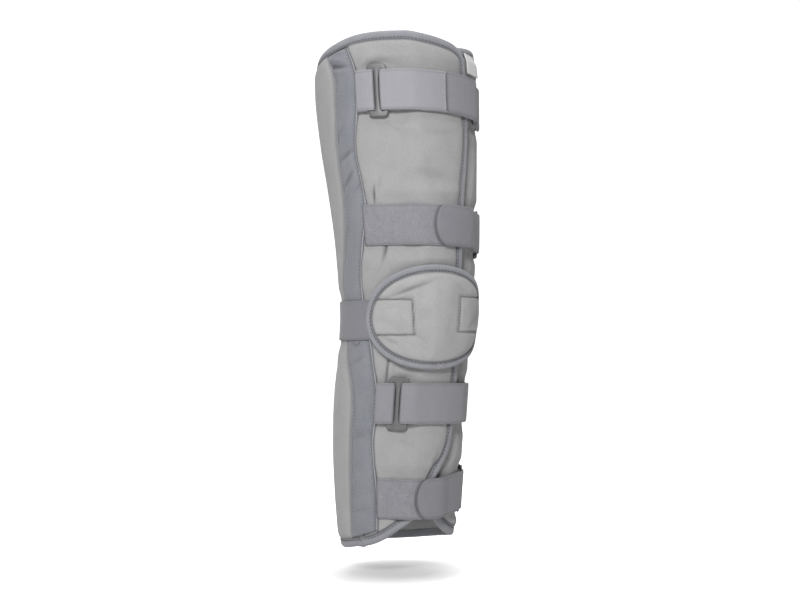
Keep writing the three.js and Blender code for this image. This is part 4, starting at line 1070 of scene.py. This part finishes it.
pull, _ = folded(turn, height, (
    ((-23, 246), 23, 16, 1.6, -1.9), ((-24, 250), 24, 14, 2.4, 1.0), ((-30, 247), 32, 9, 1.6, -1.1),
    ((-36, 200), -25, 10, 2.0, -0.9), ((-12, 200), -40, 14, 2.2, -0.7),
    ((15, 247), -35, 13, 2.2, -0.6), ((-6, 240), 5, 22, 9, 0.5), ((2, 196), 0, 24, 7, 0.4)))
shell[:n] += out_way * np.ravel(pull * ease(inset, 8, 14) - groove)[:, None]
radial = out_way / np.linalg.norm(out_way, axis=1, keepdims=True)
skin_out = np.einsum("ij,ij->i", shell[:n] - on_leg(turn, height, 0.0).reshape(-1, 3), radial) * 1000
# Painted shade in the groove inside the binding, in the creases and along the stitched boxes, less in
# the right box.
painted_shade = 0.95 * bell(inset, 6.9, 1.0) + 0.36 * np.clip(-pull - 0.2, 0, 2)
painted_shade += 0.72 * bell(from_box, 0.3, 0.65) * ease(inset, 6.6, 8.6) * (1 - 0.4 * (turn > 0))
# A lighter copy of the same brushed knit: painted light on the cushion.
PAD_CLOTH_PAINTED_LIGHT = knit_material("pad_brushed_knit_painted_light", (0.385, 0.382, 0.382), (0.485, 0.482, 0.482),
                          0.92, 1000, 55, 0.0012, 0.2)
uv = np.stack([turn / degrees(1.0, height), height], -1).reshape(-1, 2) / 10
pad = make("knee_pad_cushion", shell, faces, [PAD_CLOTH_PAINTED_LIGHT], np.tile(uv, (2, 1)),
           nodes=["knee_pad"], shade=np.concatenate([np.ravel(np.clip(painted_shade, 0, 1)), np.zeros(n)]))
smooth = pad.modifiers.new("soft_edges", "SUBSURF")
smooth.levels = smooth.render_levels = 1
# Each box is sewn on three sides, at the height of the cloth that lies below the stitches.
for number, (a, b, c, d) in enumerate(PAD_BOXES):
    near, far = (a + 15.5, b) if number == 0 else (b - 16, a)
    t = np.concatenate([np.linspace(near, far, 60), np.full(60, far), np.linspace(far, near, 60)])
    h = np.concatenate([np.full(60, d), np.linspace(d, c, 60), np.full(60, c)])
    t = t + (PAD_HEIGHT - h) * BOX_SLANT * (number == 0) * (t > a + 20)
    aside, above = (np.ravel(turn) - t[:, None]) * 1.1, np.ravel(height) - h[:, None]
    on_skin = skin_out[np.argmin(aside**2 + above**2, 1)]
    on_skin = np.convolve(np.pad(on_skin, 3, mode="edge"), np.full(7, 1 / 7), "valid")
    sew(f"knee_pad_box_threads_{number}", t, h, on_skin + 0.25, 3.0, 2.1, 0.32)
angle = np.linspace(0, 2 * np.pi, 330, endpoint=False)
t0, h0 = pad_point(angle, 0.0)
t1, h1 = pad_point(angle, 1.0)
walked = np.linspace(0, 346, 330, endpoint=False)
bind("knee_pad_edge", "knee_pad_binding", t0, h0, t1 - t0, h1 - h0, walked, pad_lift,
     closed=True, wide=0.8)
t, h = pad_point(np.linspace(0, 2 * np.pi, 700), 5.2)
sew("knee_pad_edge_threads", t, h, 5.5 + pad_lift(t))
k = np.linspace(-1, 1, 40)
t = 2.5 + 2.6 * k
for number, slant in enumerate((-1, 1)):
    sew(f"knee_pad_bartack_threads_{number}", t, 176.5 + slant * 3.0 * k, 6.15 + pad_lift(t),
        1.9, 1.6, 0.3, material=LIGHT_THREAD)
k = np.linspace(-1, 1, 60)
sew("knee_band_catch_threads", -71 + 5.0 * k, 199.5 - 4.5 * (1 - k * k), 7.6 + 0 * k,
    2.2, 1.7, 0.3)

# ---------------------------------------------------------------- care tag
# A small folded tag of smooth white cloth caught under the top binding; its faces are bare.

WHITE = knit_material("white_tag_cloth", (0.72, 0.72, 0.72), (0.8, 0.8, 0.8),
                      0.7, 2000, 200, 0.0001, 0.1, False)
v = np.linspace(0, 1, 24)[:, None]
w = np.linspace(-1, 1, 14)[None]
height = 453.5 + 19.5 * v - 0.8 * w
turn = 40.8 - 1.2 * v + degrees(8.6 * w, height)
out = 8.6 + 1.5 * (w + 1) * (1 - 0.5 * v) - 2.3 * ease(v, 0.55, 1)
sandwich("care_tag_cloth", turn, height, out, out + 0.6, [WHITE], ["care_tag"], 0 * out)
